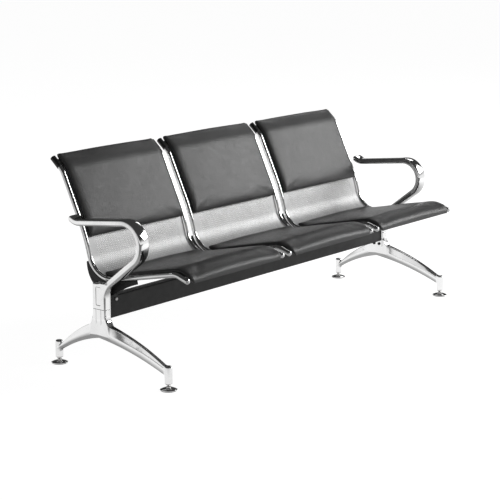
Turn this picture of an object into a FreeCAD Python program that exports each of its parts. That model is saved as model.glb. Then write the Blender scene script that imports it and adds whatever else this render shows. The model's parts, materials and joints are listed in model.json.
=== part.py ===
import FreeCAD, Part
import math
import os

# A waiting-room bench: three padded seats of perforated sheet between bent tube rails, on one beam
# between two cast legs, with an armrest at each end and a levelling foot under each leg end.
# Millimetres. X runs along the bench, the seats face -Y, Z is up and the floor is z = 0.
# The sizes below are measured from the middle between the front and the rear feet; the finished
# bench is moved along Y at the end, so that the origin lies under the middle of its outer box.

# Row of seats
seat_count = 3
seat_pitch = 570.0
seat_gap = 24.0

# Side line of a seat, from the nose at the front to the curl at the top
rail_diameter = 19.0
rail_wall = 1.5
nose_run = 41.0
nose_fall = 18.2
nose_radius = 60.0
seat_run = 288.0
seat_slope = 11.8
seat_bend_radius = 100.0
lower_back_run = 30.0
lower_back_angle = 74.0
back_bow_radius = 600.0
back_run = 181.0
back_angle = 64.2
curl_radius = 60.0
curl_run = 47.0
curl_angle = 41.0

# Sheet, pads and their boards
sheet_thickness = 1.5
sheet_nose_margin = 30.0
sheet_top_margin = 8.0
pad_overhang = 1.0
pad_draw_in = 2.0
pad_tuck = 3.0
pad_end_tuck = 8.0
pad_foot_tuck = 8.0
pad_belly = 0.62
seat_pad_edge = 17.5
seat_pad_crown = 22.5
seat_pad_front = -10.0
seat_pad_front_end = -4.0
seat_pad_front_round = 36.0
seat_pad_lip = 9.0
seat_pad_overlap = 62.0
seat_pad_rear_end = 7.0
back_pad_edge = 21.0
back_pad_crown = 27.0
back_pad_bottom = 215.0
back_pad_bottom_end = 12.0
back_pad_top = 4.0
back_pad_top_end = 16.0
pad_end_round = 18.0
pad_end_steps = 4
pad_ring_pitch = 15.0
pad_end_arch = 1.5
board_thickness = 6.0
board_inset = 46.0

# Rail ends
cap_wall = 1.0
cap_end = 3.0
cap_margin = 2.0
plug_dome = 5.0
plug_spigot = 12.0

# Beam
beam_height = 80.0
beam_depth = 40.0
beam_wall = 2.5
beam_corner = 4.0
beam_middle = 242.0
seat_rise = 60.5
seat_setback = 24.0

# Seat brackets, saddles over the beam
bracket_thickness = 12.0
bracket_front_reach = 111.0
bracket_rear_reach = 135.0
bracket_front_tip = 15.0
bracket_rear_tip = 7.0
bracket_front_belly = 24.0
bracket_rear_belly = 36.0
saddle_gap = 7.0
saddle_end_gap = 1.0
saddle_wall = 5.0
saddle_cheek = 32.0
saddle_bolt_drop = 11.5
saddle_bolt_aside = 10.0

# Posts, legs and armrests
post_setback = 49.0
post_depth = 64.0
post_width = 30.0
post_corner = 8.0
post_split_drop = 2.0
arm_base_margin = 14.0
panel_width = 24.0
panel_height = 66.0
panel_depth = 1.5
groove_width = 3.0
limb_top_width = 14.0
limb_low_width = 11.0
limb_end_width = 23.0
limb_ridge = 17.0
limb_steps = 8
flare_steps = 4
root_flare_front = 22.0
root_flare_rear = 14.0
root_height = 18.0
root_drop = 21.0
limb_front_drop = 8.0
limb_front_rise = 22.0
limb_rear_drop = 26.0
limb_rear_rise = 20.0
limb_bow = 12.0
arch_crown = 60.0
arch_drop = 71.0
arch_bow = 12.0
arm_width = 48.0
arm_thickness = 26.0
arm_corner = 9.0
arm_neck_run = 60.0
arm_root_drop = 33.0
arm_rise_angle = 37.0
arm_rise_run = 219.0
arm_loop_radius = 75.0
arm_top_run = 208.0
arm_top_slope = 6.6
arm_flick_radius = 60.0
arm_flick_angle = 26.0
arm_flick_run = 12.0
arm_end_round = 7.0

# End plates of the beam
plate_thickness = 6.0
plate_depth = 50.0
plate_lip = 39.0
plate_drop = 25.0
plate_bolt_spread = 26.0
plate_bolt_reach = 18.0

# Feet
foot_spacing = 537.0
socket_diameter = 29.0
socket_height = 64.0
socket_round = 6.0
sole_diameter = 58.0
sole_thickness = 2.5
sole_stud = 1.5
sole_stud_diameter = 8.0
disc_diameter = 62.0
disc_height = 8.0
disc_rim = 2.5
disc_bulge = 1.4
disc_neck_diameter = 20.0
stem_diameter = 10.0
stem_engagement = 26.0
stem_flats = 17.0
stem_flats_height = 4.0
stem_seat = 4.0
insert_diameter = 16.0
insert_length = 30.0
insert_flange = 3.0
foot_travel = 6.5
stem_headroom = 20.0

# Fasteners and fits
bolt_diameter = 8.0
bolt_head_diameter = 13.0
bolt_head_height = 5.0
nut_height = 6.5
bolt_tail = 2.0
screw_diameter = 4.0
screw_head_diameter = 9.0
screw_head_height = 2.5
screw_side_inset = 115.0
screw_end_inset = 56.0
fit = 0.3
soft_gap = 0.5
tiny = 1e-6

# Derived places
rail_radius = rail_diameter / 2
half_row = seat_count * seat_pitch / 2
half_sheet = seat_pitch / 2 - seat_gap / 2 - rail_diameter
rail_offset = half_sheet + rail_radius
half_pad = half_sheet + pad_overhang
saddle_width = seat_gap + rail_diameter - saddle_gap
saddle_reach = saddle_width / 2 + saddle_end_gap + plate_thickness + post_width / 2
arm_reach = rail_radius + fit + arm_width / 2
leg_x = half_row - seat_pitch / 2 + rail_offset + max(saddle_reach, arm_reach)
post_front = post_setback - post_depth / 2
post_rear = post_setback + post_depth / 2
post_split = beam_middle - post_split_drop
beam_bottom = beam_middle - beam_height / 2
beam_top = beam_middle + beam_height / 2
beam_front = post_setback - beam_depth / 2
beam_rear = post_setback + beam_depth / 2
plate_outer = leg_x - post_width / 2
beam_half_length = plate_outer - plate_thickness
arm_base_top = beam_top + plate_lip + arm_base_margin
root_level = beam_bottom - root_drop
arch_top = beam_bottom - arch_drop
disc_top = sole_thickness + disc_height
socket_bottom = disc_top + stem_flats_height + foot_travel + insert_flange
socket_top = socket_bottom + socket_height
stem_top = socket_bottom + stem_engagement
bolt_bore = bolt_diameter + 2 * fit
cap_diameter = rail_diameter + 2 * fit + 2 * cap_wall
lengthwise = FreeCAD.Vector(1, 0, 0)


def spot(y, z, x=0.0):
    return FreeCAD.Vector(x, y, z)


def run(length):
    return (length, 0.0)


def bend(radius, turn):
    return (radius * math.radians(abs(turn)), math.radians(turn))


class BentLine:
    # A line of straight runs and tangent bends in the plane x = 0, walked by its length.

    def __init__(self, start, heading, moves):
        self.stretches = []
        self.length = 0.0
        y, z = start
        heading = math.radians(heading)
        for length, turn in moves:
            self.stretches.append((self.length, length, y, z, heading, turn))
            y, z, heading = self.step(y, z, heading, length, turn, length)
            self.length += length

    def step(self, y, z, heading, length, turn, walked):
        if turn == 0.0:
            return y + walked * math.cos(heading), z + walked * math.sin(heading), heading
        radius = length / turn
        new = heading + walked / radius
        return (y + radius * (math.sin(new) - math.sin(heading)),
                z + radius * (math.cos(heading) - math.cos(new)), new)

    def stretch(self, walked):
        for stretch in self.stretches:
            if walked <= stretch[0] + stretch[1]:
                break
        return stretch

    def at(self, walked, side=0.0):
        # The point at a walked length, moved to the left of the walk, and the heading there.
        first, length, y, z, heading, turn = self.stretch(walked)
        y, z, heading = self.step(y, z, heading, length, turn, walked - first)
        return spot(y - side * math.sin(heading), z + side * math.cos(heading)), heading

    def edges(self, first, last, side=0.0):
        corners = [stretch[0] for stretch in self.stretches if first + tiny < stretch[0] < last - tiny]
        stops = [first] + corners + [last]
        made = []
        for near, far in zip(stops, stops[1:]):
            middle = (near + far) / 2
            start, through, end = [self.at(place, side)[0] for place in (near, middle, far)]
            straight = self.stretch(middle)[-1] == 0.0
            made.append(line(start, end) if straight else arc(start, through, end))
        return made


def closed_face(edges):
    return Part.Face(Part.Wire(Part.__sortEdges__(edges)))


def line(start, end):
    return Part.LineSegment(start, end).toShape()


def arc(start, through, end):
    return Part.Arc(start, through, end).toShape()


def strip(path, first, last, low, high, left, right):
    # A sheet that follows the path between two offsets, and reaches from left to right along X.
    outline = path.edges(first, last, low) + path.edges(first, last, high)
    for place in (first, last):
        outline.append(line(path.at(place, low)[0], path.at(place, high)[0]))
    face = closed_face(outline)
    face.translate(lengthwise * left)
    return face.extrude(lengthwise * (right - left))


def rod(path, first, last, radius):
    start, heading = path.at(first)
    ring = Part.makeCircle(radius, start, spot(math.cos(heading), math.sin(heading)))
    return Part.Wire(path.edges(first, last)).makePipeShell([Part.Wire([ring])], True, False)


def cylinder_between(start, end, radius):
    axis = end - start
    return Part.makeCylinder(radius, axis.Length, start, axis)


def across(x, y, z, length, diameter):
    # A cylinder along Y from the given point.
    return Part.makeCylinder(diameter / 2, length, spot(y, z, x), FreeCAD.Vector(0, 1, 0))


def block(left, right, front, rear, low, high):
    return Part.makeBox(right - left, rear - front, high - low, spot(front, low, left))


def hexagon(flats, height):
    corner = flats / math.sqrt(3)
    ring = [FreeCAD.Vector(corner * math.cos(step * math.pi / 3), corner * math.sin(step * math.pi / 3), 0)
            for step in range(7)]
    return Part.Face(Part.makePolygon(ring)).extrude(FreeCAD.Vector(0, 0, height))


def moved(shape, x, y=0.0, z=0.0):
    copy = shape.copy()
    copy.translate(FreeCAD.Vector(x, y, z))
    return copy


def mirrored(shape):
    return shape.mirror(FreeCAD.Vector(0, 0, 0), lengthwise)


def turned(points, arc_points):
    # A solid turned about Z from an outline in radius and height, with one arc in it.
    corners = [FreeCAD.Vector(radius, 0, z) for radius, z in points]
    edges = [line(start, end) for start, end in zip(corners, corners[1:])]
    edges.append(arc(*[FreeCAD.Vector(radius, 0, z) for radius, z in arc_points]))
    return closed_face(edges).revolve(FreeCAD.Vector(0, 0, 0), FreeCAD.Vector(0, 0, 1), 360)


def rounded_post(low, high):
    # A post standing on the leg's plan, with its upright corners rounded.
    post = block(-post_width / 2, post_width / 2, post_front, post_rear, low, high)
    upright = [edge for edge in post.Edges if abs(edge.tangentAt(edge.FirstParameter).z) > 0.9]
    return post.makeFillet(post_corner, upright)


# The side line of every seat, from the nose to the curl
seat_moves = [
    run(nose_run),
    bend(nose_radius, -nose_fall - seat_slope),
    run(seat_run),
    bend(seat_bend_radius, seat_slope + lower_back_angle),
    run(lower_back_run),
    bend(back_bow_radius, back_angle - lower_back_angle),
    run(back_run),
    bend(curl_radius, curl_angle - back_angle),
    run(curl_run),
]
seat_end = sum(move[0] for move in seat_moves[:3])
bend_middle = seat_end + seat_moves[3][0] / 2
loose_end = BentLine((0.0, 0.0), nose_fall, seat_moves).at(seat_end)[0]
side_line = BentLine((post_setback - seat_setback - loose_end.y, beam_top + seat_rise - loose_end.z),
                     nose_fall, seat_moves)
rail_top = side_line.length
cap_first = rail_top - curl_run + cap_margin


def make_rail():
    return rod(side_line, 0.0, rail_top, rail_radius).cut(
        rod(side_line, 0.0, rail_top, rail_radius - rail_wall))


def make_cap():
    low, heading = side_line.at(cap_first)
    top = side_line.at(rail_top)[0]
    onward = spot(math.cos(heading), math.sin(heading))
    shell = cylinder_between(low, top + onward * cap_end, cap_diameter / 2)
    rim = [edge for edge in shell.Edges if (edge.CenterOfMass - top).Length <= cap_end + fit]
    shell = shell.makeFillet(cap_end / 2, rim)
    return shell.cut(cylinder_between(low, top, rail_radius + fit))


def make_plug():
    # A domed button with a spigot, turned about Z and then laid along the nose of the rail.
    spigot_radius = rail_radius - rail_wall - fit
    sphere_radius = (rail_radius ** 2 + plug_dome ** 2) / (2 * plug_dome)
    half_way = rail_radius / 2
    half_way_depth = sphere_radius - plug_dome - math.sqrt(sphere_radius ** 2 - half_way ** 2)
    plug = turned([(rail_radius, 0.0), (spigot_radius, 0.0), (spigot_radius, plug_spigot), (0.0, plug_spigot),
                   (0.0, -plug_dome)],
                  [(0.0, -plug_dome), (half_way, half_way_depth), (rail_radius, 0.0)])
    tip, heading = side_line.at(0.0)
    plug.rotate(FreeCAD.Vector(0, 0, 0), lengthwise, math.degrees(heading) - 90)
    plug.translate(tip)
    return plug


# Sheet between the rails of a seat, with holes for the pad screws
sheet_face = sheet_thickness / 2
seat_board_first = seat_pad_front + board_inset
seat_board_last = seat_end + seat_pad_overlap - board_inset
back_board_first = seat_end + back_pad_bottom + board_inset
back_board_last = rail_top + back_pad_top - board_inset
seat_screw_rows = (seat_board_first + screw_end_inset, seat_board_last - screw_end_inset)
back_screw_rows = (back_board_first + screw_end_inset, back_board_last - screw_end_inset)


def screw_spots(rows):
    x = half_pad - screw_side_inset
    return [(row, side * x) for row in rows for side in (-1, 1)]


def peg(row, x, low, high, diameter):
    # A cylinder square to the sheet, between two offsets from its middle.
    start = side_line.at(row, low)[0]
    end = side_line.at(row, high)[0]
    return moved(cylinder_between(start, end, diameter / 2), x)


def make_screws(rows):
    tip = sheet_face + board_thickness - fit
    made = []
    for row, x in screw_spots(rows):
        head = peg(row, x, -sheet_face - screw_head_height, -sheet_face, screw_head_diameter)
        made.append(head.fuse(peg(row, x, -sheet_face, tip, screw_diameter)).removeSplitter())
    return made


def drilled(sheet, rows):
    for row, x in screw_spots(rows):
        reach = sheet_face + board_thickness
        sheet = sheet.cut(peg(row, x, -reach, reach, screw_diameter + 2 * fit))
    return sheet


def make_sheet():
    sheet = strip(side_line, sheet_nose_margin, rail_top - sheet_top_margin, -sheet_face, sheet_face,
                  -half_sheet, half_sheet)
    low = side_line.at(cap_first - fit)[0]
    for side in (-1, 1):
        room = cylinder_between(low, side_line.at(rail_top)[0], cap_diameter / 2 + fit)
        sheet = sheet.cut(moved(room, side * rail_offset))
    return drilled(sheet, seat_screw_rows + back_screw_rows)


def make_board(first, last, rows):
    half = half_pad - board_inset
    board = strip(side_line, first, last, sheet_face, sheet_face + board_thickness, -half, half)
    return drilled(board, rows)


def pad_ring(place, half, low, edge, crown):
    # One cross section of a pad: flat below, sides that belly out over the rails, and an arched top.
    origin, heading = side_line.at(place)
    up = spot(-math.sin(heading), math.cos(heading))

    def corner(x, height):
        return origin + lengthwise * x + up * height

    foot = half - pad_foot_tuck
    inner = half - pad_tuck
    belly = low + (edge - low) * pad_belly
    return Part.Wire([
        line(corner(-foot, low), corner(foot, low)),
        arc(corner(foot, low), corner(half, belly), corner(inner, edge)),
        arc(corner(inner, edge), corner(0, crown), corner(-inner, edge)),
        arc(corner(-inner, edge), corner(-half, belly), corner(-foot, low)),
    ])


def make_pad(first, last, full, crown, ends, rounds, lip, board):
    # The pad swells from its two ends in quarter rounds, and its sides draw in between its corners
    # and where an end is thin.
    # Its underside eases down by the lip in front of the sheet, and its board lies in a pocket below.
    length = last - first
    quarter = [math.pi / 2 * step / pad_end_steps for step in range(pad_end_steps + 1)]
    near = [(rounds[0] * (1 - math.cos(angle)), math.sin(angle), ends[0]) for angle in quarter]
    far = [(rounds[1] * (1 - math.cos(angle)), math.sin(angle), ends[1]) for angle in reversed(quarter)]
    far = [(length - walked, swell, end) for walked, swell, end in far]
    free = length - sum(rounds)
    count = int(free // pad_ring_pitch)
    level = [(rounds[0] + free * step / count, 1.0, full) for step in range(1, count)]
    rings = []
    for walked, swell, end in near + level + far:
        stop = first + walked
        half = half_pad - pad_draw_in * math.sin(math.pi * walked / length)
        half -= pad_end_tuck * (1 - end / full) * (1 - swell)
        ahead = max(0.0, sheet_nose_margin - stop) / (sheet_nose_margin - first)
        low = sheet_face + soft_gap - lip * ahead ** 2
        edge = sheet_face + end + (full - end) * swell
        arch = pad_end_arch + (crown - full - pad_end_arch) * swell
        rings.append(pad_ring(stop, half, low, edge, edge + arch))
    pad = Part.makeLoft(rings, True, False)
    half = half_pad - board_inset + soft_gap
    pocket = strip(side_line, board[0] - soft_gap, board[1] + soft_gap, 0.0,
                   sheet_face + board_thickness + soft_gap, -half, half)
    return pad.cut(pocket)


def make_bracket():
    # A left-hand gusset that hugs the rail from below, on a saddle over the beam. The rail lies at x = 0.
    front = seat_end - bracket_front_reach
    rear = seat_end + bracket_rear_reach
    under = -rail_radius
    shelf = beam_top + saddle_wall
    toe = spot(beam_front - saddle_wall, shelf)
    heel = spot(beam_rear + saddle_wall, shelf)
    front_belly = side_line.at((front + seat_end) / 2, under - bracket_front_belly)[0]
    rear_belly = side_line.at(bend_middle, under - bracket_rear_belly)[0]
    front_tip = side_line.at(front, under - bracket_front_tip)[0]
    rear_tip = side_line.at(rear, under - bracket_rear_tip)[0]
    outline = side_line.edges(front, rear, under) + [
        line(side_line.at(rear, under)[0], rear_tip),
        arc(rear_tip, rear_belly, heel),
        line(heel, toe),
        arc(toe, front_belly, front_tip),
        line(front_tip, side_line.at(front, under)[0]),
    ]
    gusset = closed_face(outline).extrude(lengthwise * bracket_thickness)
    gusset.translate(lengthwise * (-bracket_thickness / 2))
    half = saddle_width / 2
    saddle = block(-half, half, toe.y, heel.y, beam_top - saddle_cheek, shelf)
    saddle = saddle.cut(block(-half, half, beam_front, beam_rear, beam_top - saddle_cheek, beam_top))
    saddle = saddle.cut(across(saddle_bolt_aside, toe.y, beam_top - saddle_bolt_drop, heel.y - toe.y, bolt_bore))
    return gusset.fuse(saddle).removeSplitter()


def make_saddle_bolt(x):
    front = beam_front - saddle_wall
    through = beam_depth + 2 * saddle_wall + nut_height + bolt_tail
    z = beam_top - saddle_bolt_drop
    head = across(x, front - bolt_head_height, z, bolt_head_height, bolt_head_diameter)
    rim = [edge for edge in head.Edges if edge.CenterOfMass.y < front - bolt_head_height / 2 and edge.Closed]
    head = head.makeFillet(bolt_head_height / 2, rim)
    return head.fuse(across(x, front, z, through, bolt_diameter)).removeSplitter()


def make_saddle_nut(x):
    nut = hexagon(bolt_head_diameter, nut_height)
    nut = nut.cut(Part.makeCylinder(bolt_diameter / 2 + fit, nut_height))
    nut.rotate(FreeCAD.Vector(0, 0, 0), lengthwise, -90)
    return moved(nut, x, beam_rear + saddle_wall, beam_top - saddle_bolt_drop)


def make_beam(bolt_places):
    half = beam_half_length
    outer = block(-half, half, beam_front, beam_rear, beam_bottom, beam_top)
    outer = outer.makeFillet(beam_corner, [edge for edge in outer.Edges if edge.Length > half])
    inner = block(-half, half, beam_front + beam_wall, beam_rear - beam_wall,
                  beam_bottom + beam_wall, beam_top - beam_wall)
    beam = outer.cut(inner)
    for x in bolt_places:
        beam = beam.cut(across(x, beam_front, beam_top - saddle_bolt_drop, beam_depth, bolt_bore))
    return beam


# Bolts through the end plates: the lower pair into the leg, the upper pair into the armrest
plate_low = beam_bottom - plate_drop
plate_high = beam_top + plate_lip
leg_bolt_level = beam_bottom - plate_drop / 2
arm_bolt_level = beam_top + plate_lip / 2
bolt_rows = (post_setback - plate_bolt_spread / 2, post_setback + plate_bolt_spread / 2)


def lengthwise_pin(x, y, z, length, diameter):
    return Part.makeCylinder(diameter / 2, length, spot(y, z, x), lengthwise)


def make_plate():
    # The right-hand plate: the left one is its mirror image.
    front = post_setback - plate_depth / 2
    plate = block(beam_half_length, plate_outer, front, front + plate_depth, plate_low, plate_high)
    for level in (leg_bolt_level, arm_bolt_level):
        for y in bolt_rows:
            plate = plate.cut(lengthwise_pin(beam_half_length, y, level, plate_thickness, bolt_bore))
    return plate


def make_plate_bolt(y, level):
    head = lengthwise_pin(beam_half_length - bolt_head_height, y, level, bolt_head_height, bolt_head_diameter)
    shank = lengthwise_pin(beam_half_length, y, level, plate_thickness + plate_bolt_reach, bolt_diameter)
    return head.fuse(shank).removeSplitter()


def tapped(casting, level):
    # Blind bores for the plate bolts in the inner face of a right-hand casting at x = 0.
    for y in bolt_rows:
        bore = lengthwise_pin(-post_width / 2, y, level, plate_bolt_reach + fit, bolt_bore)
        casting = casting.cut(bore)
    return casting


def limb_ring(y, half, top, low):
    # A section across a limb of the leg: a flat ridge on top, the widest line below the middle.
    corners = [(half, low + limb_ridge), (limb_top_width / 2, top), (-limb_top_width / 2, top),
               (-half, low + limb_ridge), (-limb_low_width / 2, low), (limb_low_width / 2, low)]
    ring = [spot(y, z, x) for x, z in corners]
    return Part.makePolygon(ring + ring[:1])


def make_limb(face, end, flare, end_top, end_low):
    # One limb, from the crown of the arch past the post's face to the middle of a foot socket.
    toward = 1.0 if end > face else -1.0
    flare_end = face + toward * flare
    stops = [face + toward * flare * step / flare_steps for step in range(flare_steps)]
    stops += [flare_end + (end - flare_end) * step / limb_steps for step in range(limb_steps + 1)]
    rings = [limb_ring(arch_crown, post_width / 2, root_level + root_height, arch_top)]
    for y in stops:
        under = (y - arch_crown) / (end - arch_crown)
        low = arch_top + (end_low - arch_top) * under + 4 * arch_bow * under * (1 - under)
        over = max(0.0, (y - flare_end) / (end - flare_end))
        top = root_level + (end_top - root_level) * over + 4 * limb_bow * over * (1 - over)
        top += root_height * max(0.0, 1 - abs(y - face) / flare) ** 2
        half = (post_width + (limb_end_width - post_width) * over) / 2
        rings.append(limb_ring(y, half, top, low))
    return Part.makeLoft(rings, True, True)


def make_socket(y):
    # The socket of one foot, with its top edge rounded over.
    socket = Part.makeCylinder(socket_diameter / 2, socket_height, spot(y, socket_bottom))
    rim = [edge for edge in socket.Edges if edge.CenterOfMass.z > socket_top - fit]
    return socket.makeFillet(socket_round, rim)


def make_leg():
    # The right-hand leg about x = 0: two limbs from foot to foot, with the lower half of the post on them.
    feet = (-foot_spacing / 2, foot_spacing / 2)
    leg = rounded_post((arch_top + root_level) / 2, post_split)
    limbs = [make_limb(post_front, feet[0], root_flare_front, socket_top - limb_front_drop,
                       socket_bottom + limb_front_rise),
             make_limb(post_rear, feet[1], root_flare_rear, socket_top - limb_rear_drop,
                       socket_bottom + limb_rear_rise)]
    leg = leg.fuse(limbs + [make_socket(y) for y in feet]).removeSplitter()
    for y in feet:
        insert_room = insert_diameter / 2 + fit / 2
        leg = leg.cut(Part.makeCylinder(insert_room, insert_length, spot(y, socket_bottom)))
        headroom = stem_diameter / 2 + fit
        leg = leg.cut(Part.makeCylinder(headroom, insert_length + stem_headroom, spot(y, socket_bottom)))
    outer = post_width / 2
    for y in (post_setback - panel_width / 2, post_setback + panel_width / 2):
        leg = leg.cut(block(outer - panel_depth, outer, y - groove_width / 2, y + groove_width / 2,
                            root_level + root_height, post_split))
    return tapped(leg, leg_bolt_level)


def arm_ring(path, place, width, thickness):
    # A rectangle across the arm, with its corners rounded in proportion to its thickness.
    origin, heading = path.at(place)
    up = spot(-math.sin(heading), math.cos(heading))
    corner = arm_corner * thickness / arm_thickness
    eased = corner * (1 - math.sqrt(0.5))

    def place_at(right, upward, x_inset, z_inset):
        return origin + lengthwise * (right * (width / 2 - x_inset)) + up * (upward * (thickness / 2 - z_inset))

    edges = []
    turns = [(1, 1), (1, -1), (-1, -1), (-1, 1)]
    for (right, upward), (next_right, next_upward) in zip(turns, turns[1:] + turns[:1]):
        on_top = place_at(right, upward, corner, 0)
        on_side = place_at(right, upward, 0, corner)
        middle = place_at(right, upward, eased, eased)
        start, end = (on_top, on_side) if right == next_right else (on_side, on_top)
        edges.append(arc(start, middle, end))
        insets = (0, corner) if right == next_right else (corner, 0)
        edges.append(line(end, place_at(next_right, next_upward, *insets)))
    return Part.Wire(edges)


def make_armrest():
    # The right-hand armrest about x = 0: a loop of flat bar out of the upper half of the post.
    path = BentLine((post_setback, arm_base_top - arm_root_drop), 180 - arm_rise_angle, [
        run(arm_rise_run),
        bend(arm_loop_radius, arm_rise_angle - 180 - arm_top_slope),
        run(arm_top_run),
        bend(arm_flick_radius, arm_top_slope + arm_flick_angle),
        run(arm_flick_run),
        run(arm_end_round),
    ])
    round_first = path.length - arm_end_round
    rise = Part.makeLoft([arm_ring(path, 0.0, post_width, arm_thickness),
                          arm_ring(path, arm_neck_run, post_width, arm_thickness),
                          arm_ring(path, arm_rise_run, arm_width, arm_thickness)], True, True)
    spine = Part.Wire(path.edges(arm_rise_run, round_first))
    loop = spine.makePipeShell([arm_ring(path, arm_rise_run, arm_width, arm_thickness)], True, False)
    shrink = 2 * arm_end_round
    tip = Part.makeLoft([arm_ring(path, round_first, arm_width, arm_thickness),
                         arm_ring(path, path.length, arm_width - shrink, arm_thickness - shrink)], True, True)
    base = rounded_post(post_split, arm_base_top)
    panel_front = post_setback - panel_width / 2
    panel_low = arm_base_top - arm_base_margin - panel_height
    arm = base.fuse([rise, loop, tip]).removeSplitter()
    arm = arm.cut(block(post_width / 2 - panel_depth, post_width / 2, panel_front, panel_front + panel_width,
                        panel_low, panel_low + panel_height))
    return tapped(arm, arm_bolt_level)


def make_sole():
    # The levelling foot stands about the Z axis: sole, domed disc, screwed stem and the leg's insert.
    sole = Part.makeCylinder(sole_diameter / 2, sole_thickness)
    stud = Part.makeCylinder(sole_stud_diameter / 2, sole_stud, spot(0, sole_thickness))
    return sole.fuse(stud).removeSplitter()


def make_disc():
    rim = (disc_diameter / 2, sole_thickness + disc_rim)
    neck = (disc_neck_diameter / 2, disc_top)
    dome = ((rim[0] + neck[0]) / 2, (rim[1] + neck[1]) / 2 + disc_bulge)
    disc = turned([neck, (0, disc_top), (0, sole_thickness), (rim[0], sole_thickness), rim],
                  [rim, dome, neck])
    stud_room = Part.makeCylinder(sole_stud_diameter / 2 + fit, sole_stud + fit, spot(0, sole_thickness))
    stem_room = Part.makeCylinder(stem_diameter / 2 + fit / 2, stem_seat, spot(0, disc_top - stem_seat))
    return disc.cut(stud_room).cut(stem_room)


def make_stem():
    low = disc_top - stem_seat
    stem = Part.makeCylinder(stem_diameter / 2, stem_top - low, spot(0, low))
    return stem.fuse(moved(hexagon(stem_flats, stem_flats_height), 0, 0, disc_top)).removeSplitter()


def make_insert():
    insert = Part.makeCylinder(insert_diameter / 2, insert_length, spot(0, socket_bottom))
    flange_radius = insert_diameter / 2 + (socket_diameter - insert_diameter) / 4
    flange = Part.makeCylinder(flange_radius, insert_flange, spot(0, socket_bottom - insert_flange))
    bore = Part.makeCylinder(stem_diameter / 2 + fit, insert_length + insert_flange,
                             spot(0, socket_bottom - insert_flange))
    return insert.fuse(flange).cut(bore).removeSplitter()


# Everything in its place
nodes = {}
seat_middles = [(number + 0.5) * seat_pitch - half_row for number in range(seat_count)]
rail_places = [middle + side * rail_offset for middle in seat_middles for side in (-1, 1)]
bolt_offset = rail_offset - saddle_bolt_aside
bolt_places = [middle + side * bolt_offset for middle in seat_middles for side in (-1, 1)]

nodes["beam"] = make_beam(bolt_places)
castings = {"beam_end_plate": make_plate(), "leg": moved(make_leg(), leg_x),
            "armrest": moved(make_armrest(), leg_x)}
for name, casting in castings.items():
    nodes[name + "_right"] = casting
    nodes[name + "_left"] = mirrored(casting)
for name, level in (("leg_bolts", leg_bolt_level), ("armrest_bolts", arm_bolt_level)):
    pair = [make_plate_bolt(y, level) for y in bolt_rows]
    nodes[name] = Part.makeCompound(pair + [mirrored(bolt) for bolt in pair])

rail = make_rail()
cap = make_cap()
plug = make_plug()
sheet = make_sheet()
seat_board = make_board(seat_board_first, seat_board_last, seat_screw_rows)
back_board = make_board(back_board_first, back_board_last, back_screw_rows)
seat_pad = make_pad(seat_pad_front, seat_end + seat_pad_overlap, seat_pad_edge, seat_pad_crown,
                    (seat_pad_front_end, seat_pad_rear_end), (seat_pad_front_round, pad_end_round), seat_pad_lip,
                    (seat_board_first, seat_board_last))
back_pad = make_pad(seat_end + back_pad_bottom, rail_top + back_pad_top, back_pad_edge, back_pad_crown,
                    (back_pad_bottom_end, back_pad_top_end), (pad_end_round, pad_end_round), 0.0,
                    (back_board_first, back_board_last))
brackets = {"left": make_bracket(), "right": mirrored(make_bracket())}
seat_screws = make_screws(seat_screw_rows)
back_screws = make_screws(back_screw_rows)
for number, middle in enumerate(seat_middles, 1):
    nodes[f"seat_shell_{number}"] = moved(sheet, middle)
    nodes[f"seat_board_{number}"] = moved(seat_board, middle)
    nodes[f"back_board_{number}"] = moved(back_board, middle)
    nodes[f"seat_pad_{number}"] = moved(seat_pad, middle)
    nodes[f"back_pad_{number}"] = moved(back_pad, middle)
    sides = (("left", middle - rail_offset), ("right", middle + rail_offset))
    for side, x in sides:
        nodes[f"seat_{number}_rail_{side}"] = moved(rail, x)
        nodes[f"seat_{number}_bracket_{side}"] = moved(brackets[side], x)
    nodes[f"rail_caps_{number}"] = Part.makeCompound([moved(cap, x) for side, x in sides])
nodes["rail_nose_plugs"] = Part.makeCompound([moved(plug, x) for x in rail_places])
nodes["bracket_bolts"] = Part.makeCompound([make_saddle_bolt(x) for x in bolt_places])
nodes["bracket_nuts"] = Part.makeCompound([make_saddle_nut(x) for x in bolt_places])
nodes["seat_pad_screws"] = Part.makeCompound([moved(screw, x) for x in seat_middles for screw in seat_screws])
nodes["back_pad_screws"] = Part.makeCompound([moved(screw, x) for x in seat_middles for screw in back_screws])

foot_pieces = {"foot_sole": make_sole(), "foot_disc": make_disc(), "foot_stem": make_stem()}
foot_places = {
    "front_left": (-leg_x, -foot_spacing / 2),
    "front_right": (leg_x, -foot_spacing / 2),
    "rear_left": (-leg_x, foot_spacing / 2),
    "rear_right": (leg_x, foot_spacing / 2),
}
for place, (x, y) in foot_places.items():
    for name, piece in foot_pieces.items():
        nodes[f"{name}_{place}"] = moved(piece, x, y)
insert = make_insert()
nodes["foot_inserts"] = Part.makeCompound([moved(insert, x, y) for x, y in foot_places.values()])

# The origin lies under the middle of the outer box
box = Part.makeCompound(list(nodes.values())).optimalBoundingBox()
centring = -(box.YMin + box.YMax) / 2
os.makedirs("parts", exist_ok=True)
for name, shape in nodes.items():
    moved(shape, 0.0, centring).exportStep(f"parts/{name}.step")
print(f"{len(nodes)} nodes, moved {centring:.3f} along Y")
print(f"box {box.XLength:.1f} x {box.YLength:.1f} x {box.ZLength:.1f}")
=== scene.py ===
import json
import math

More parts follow.
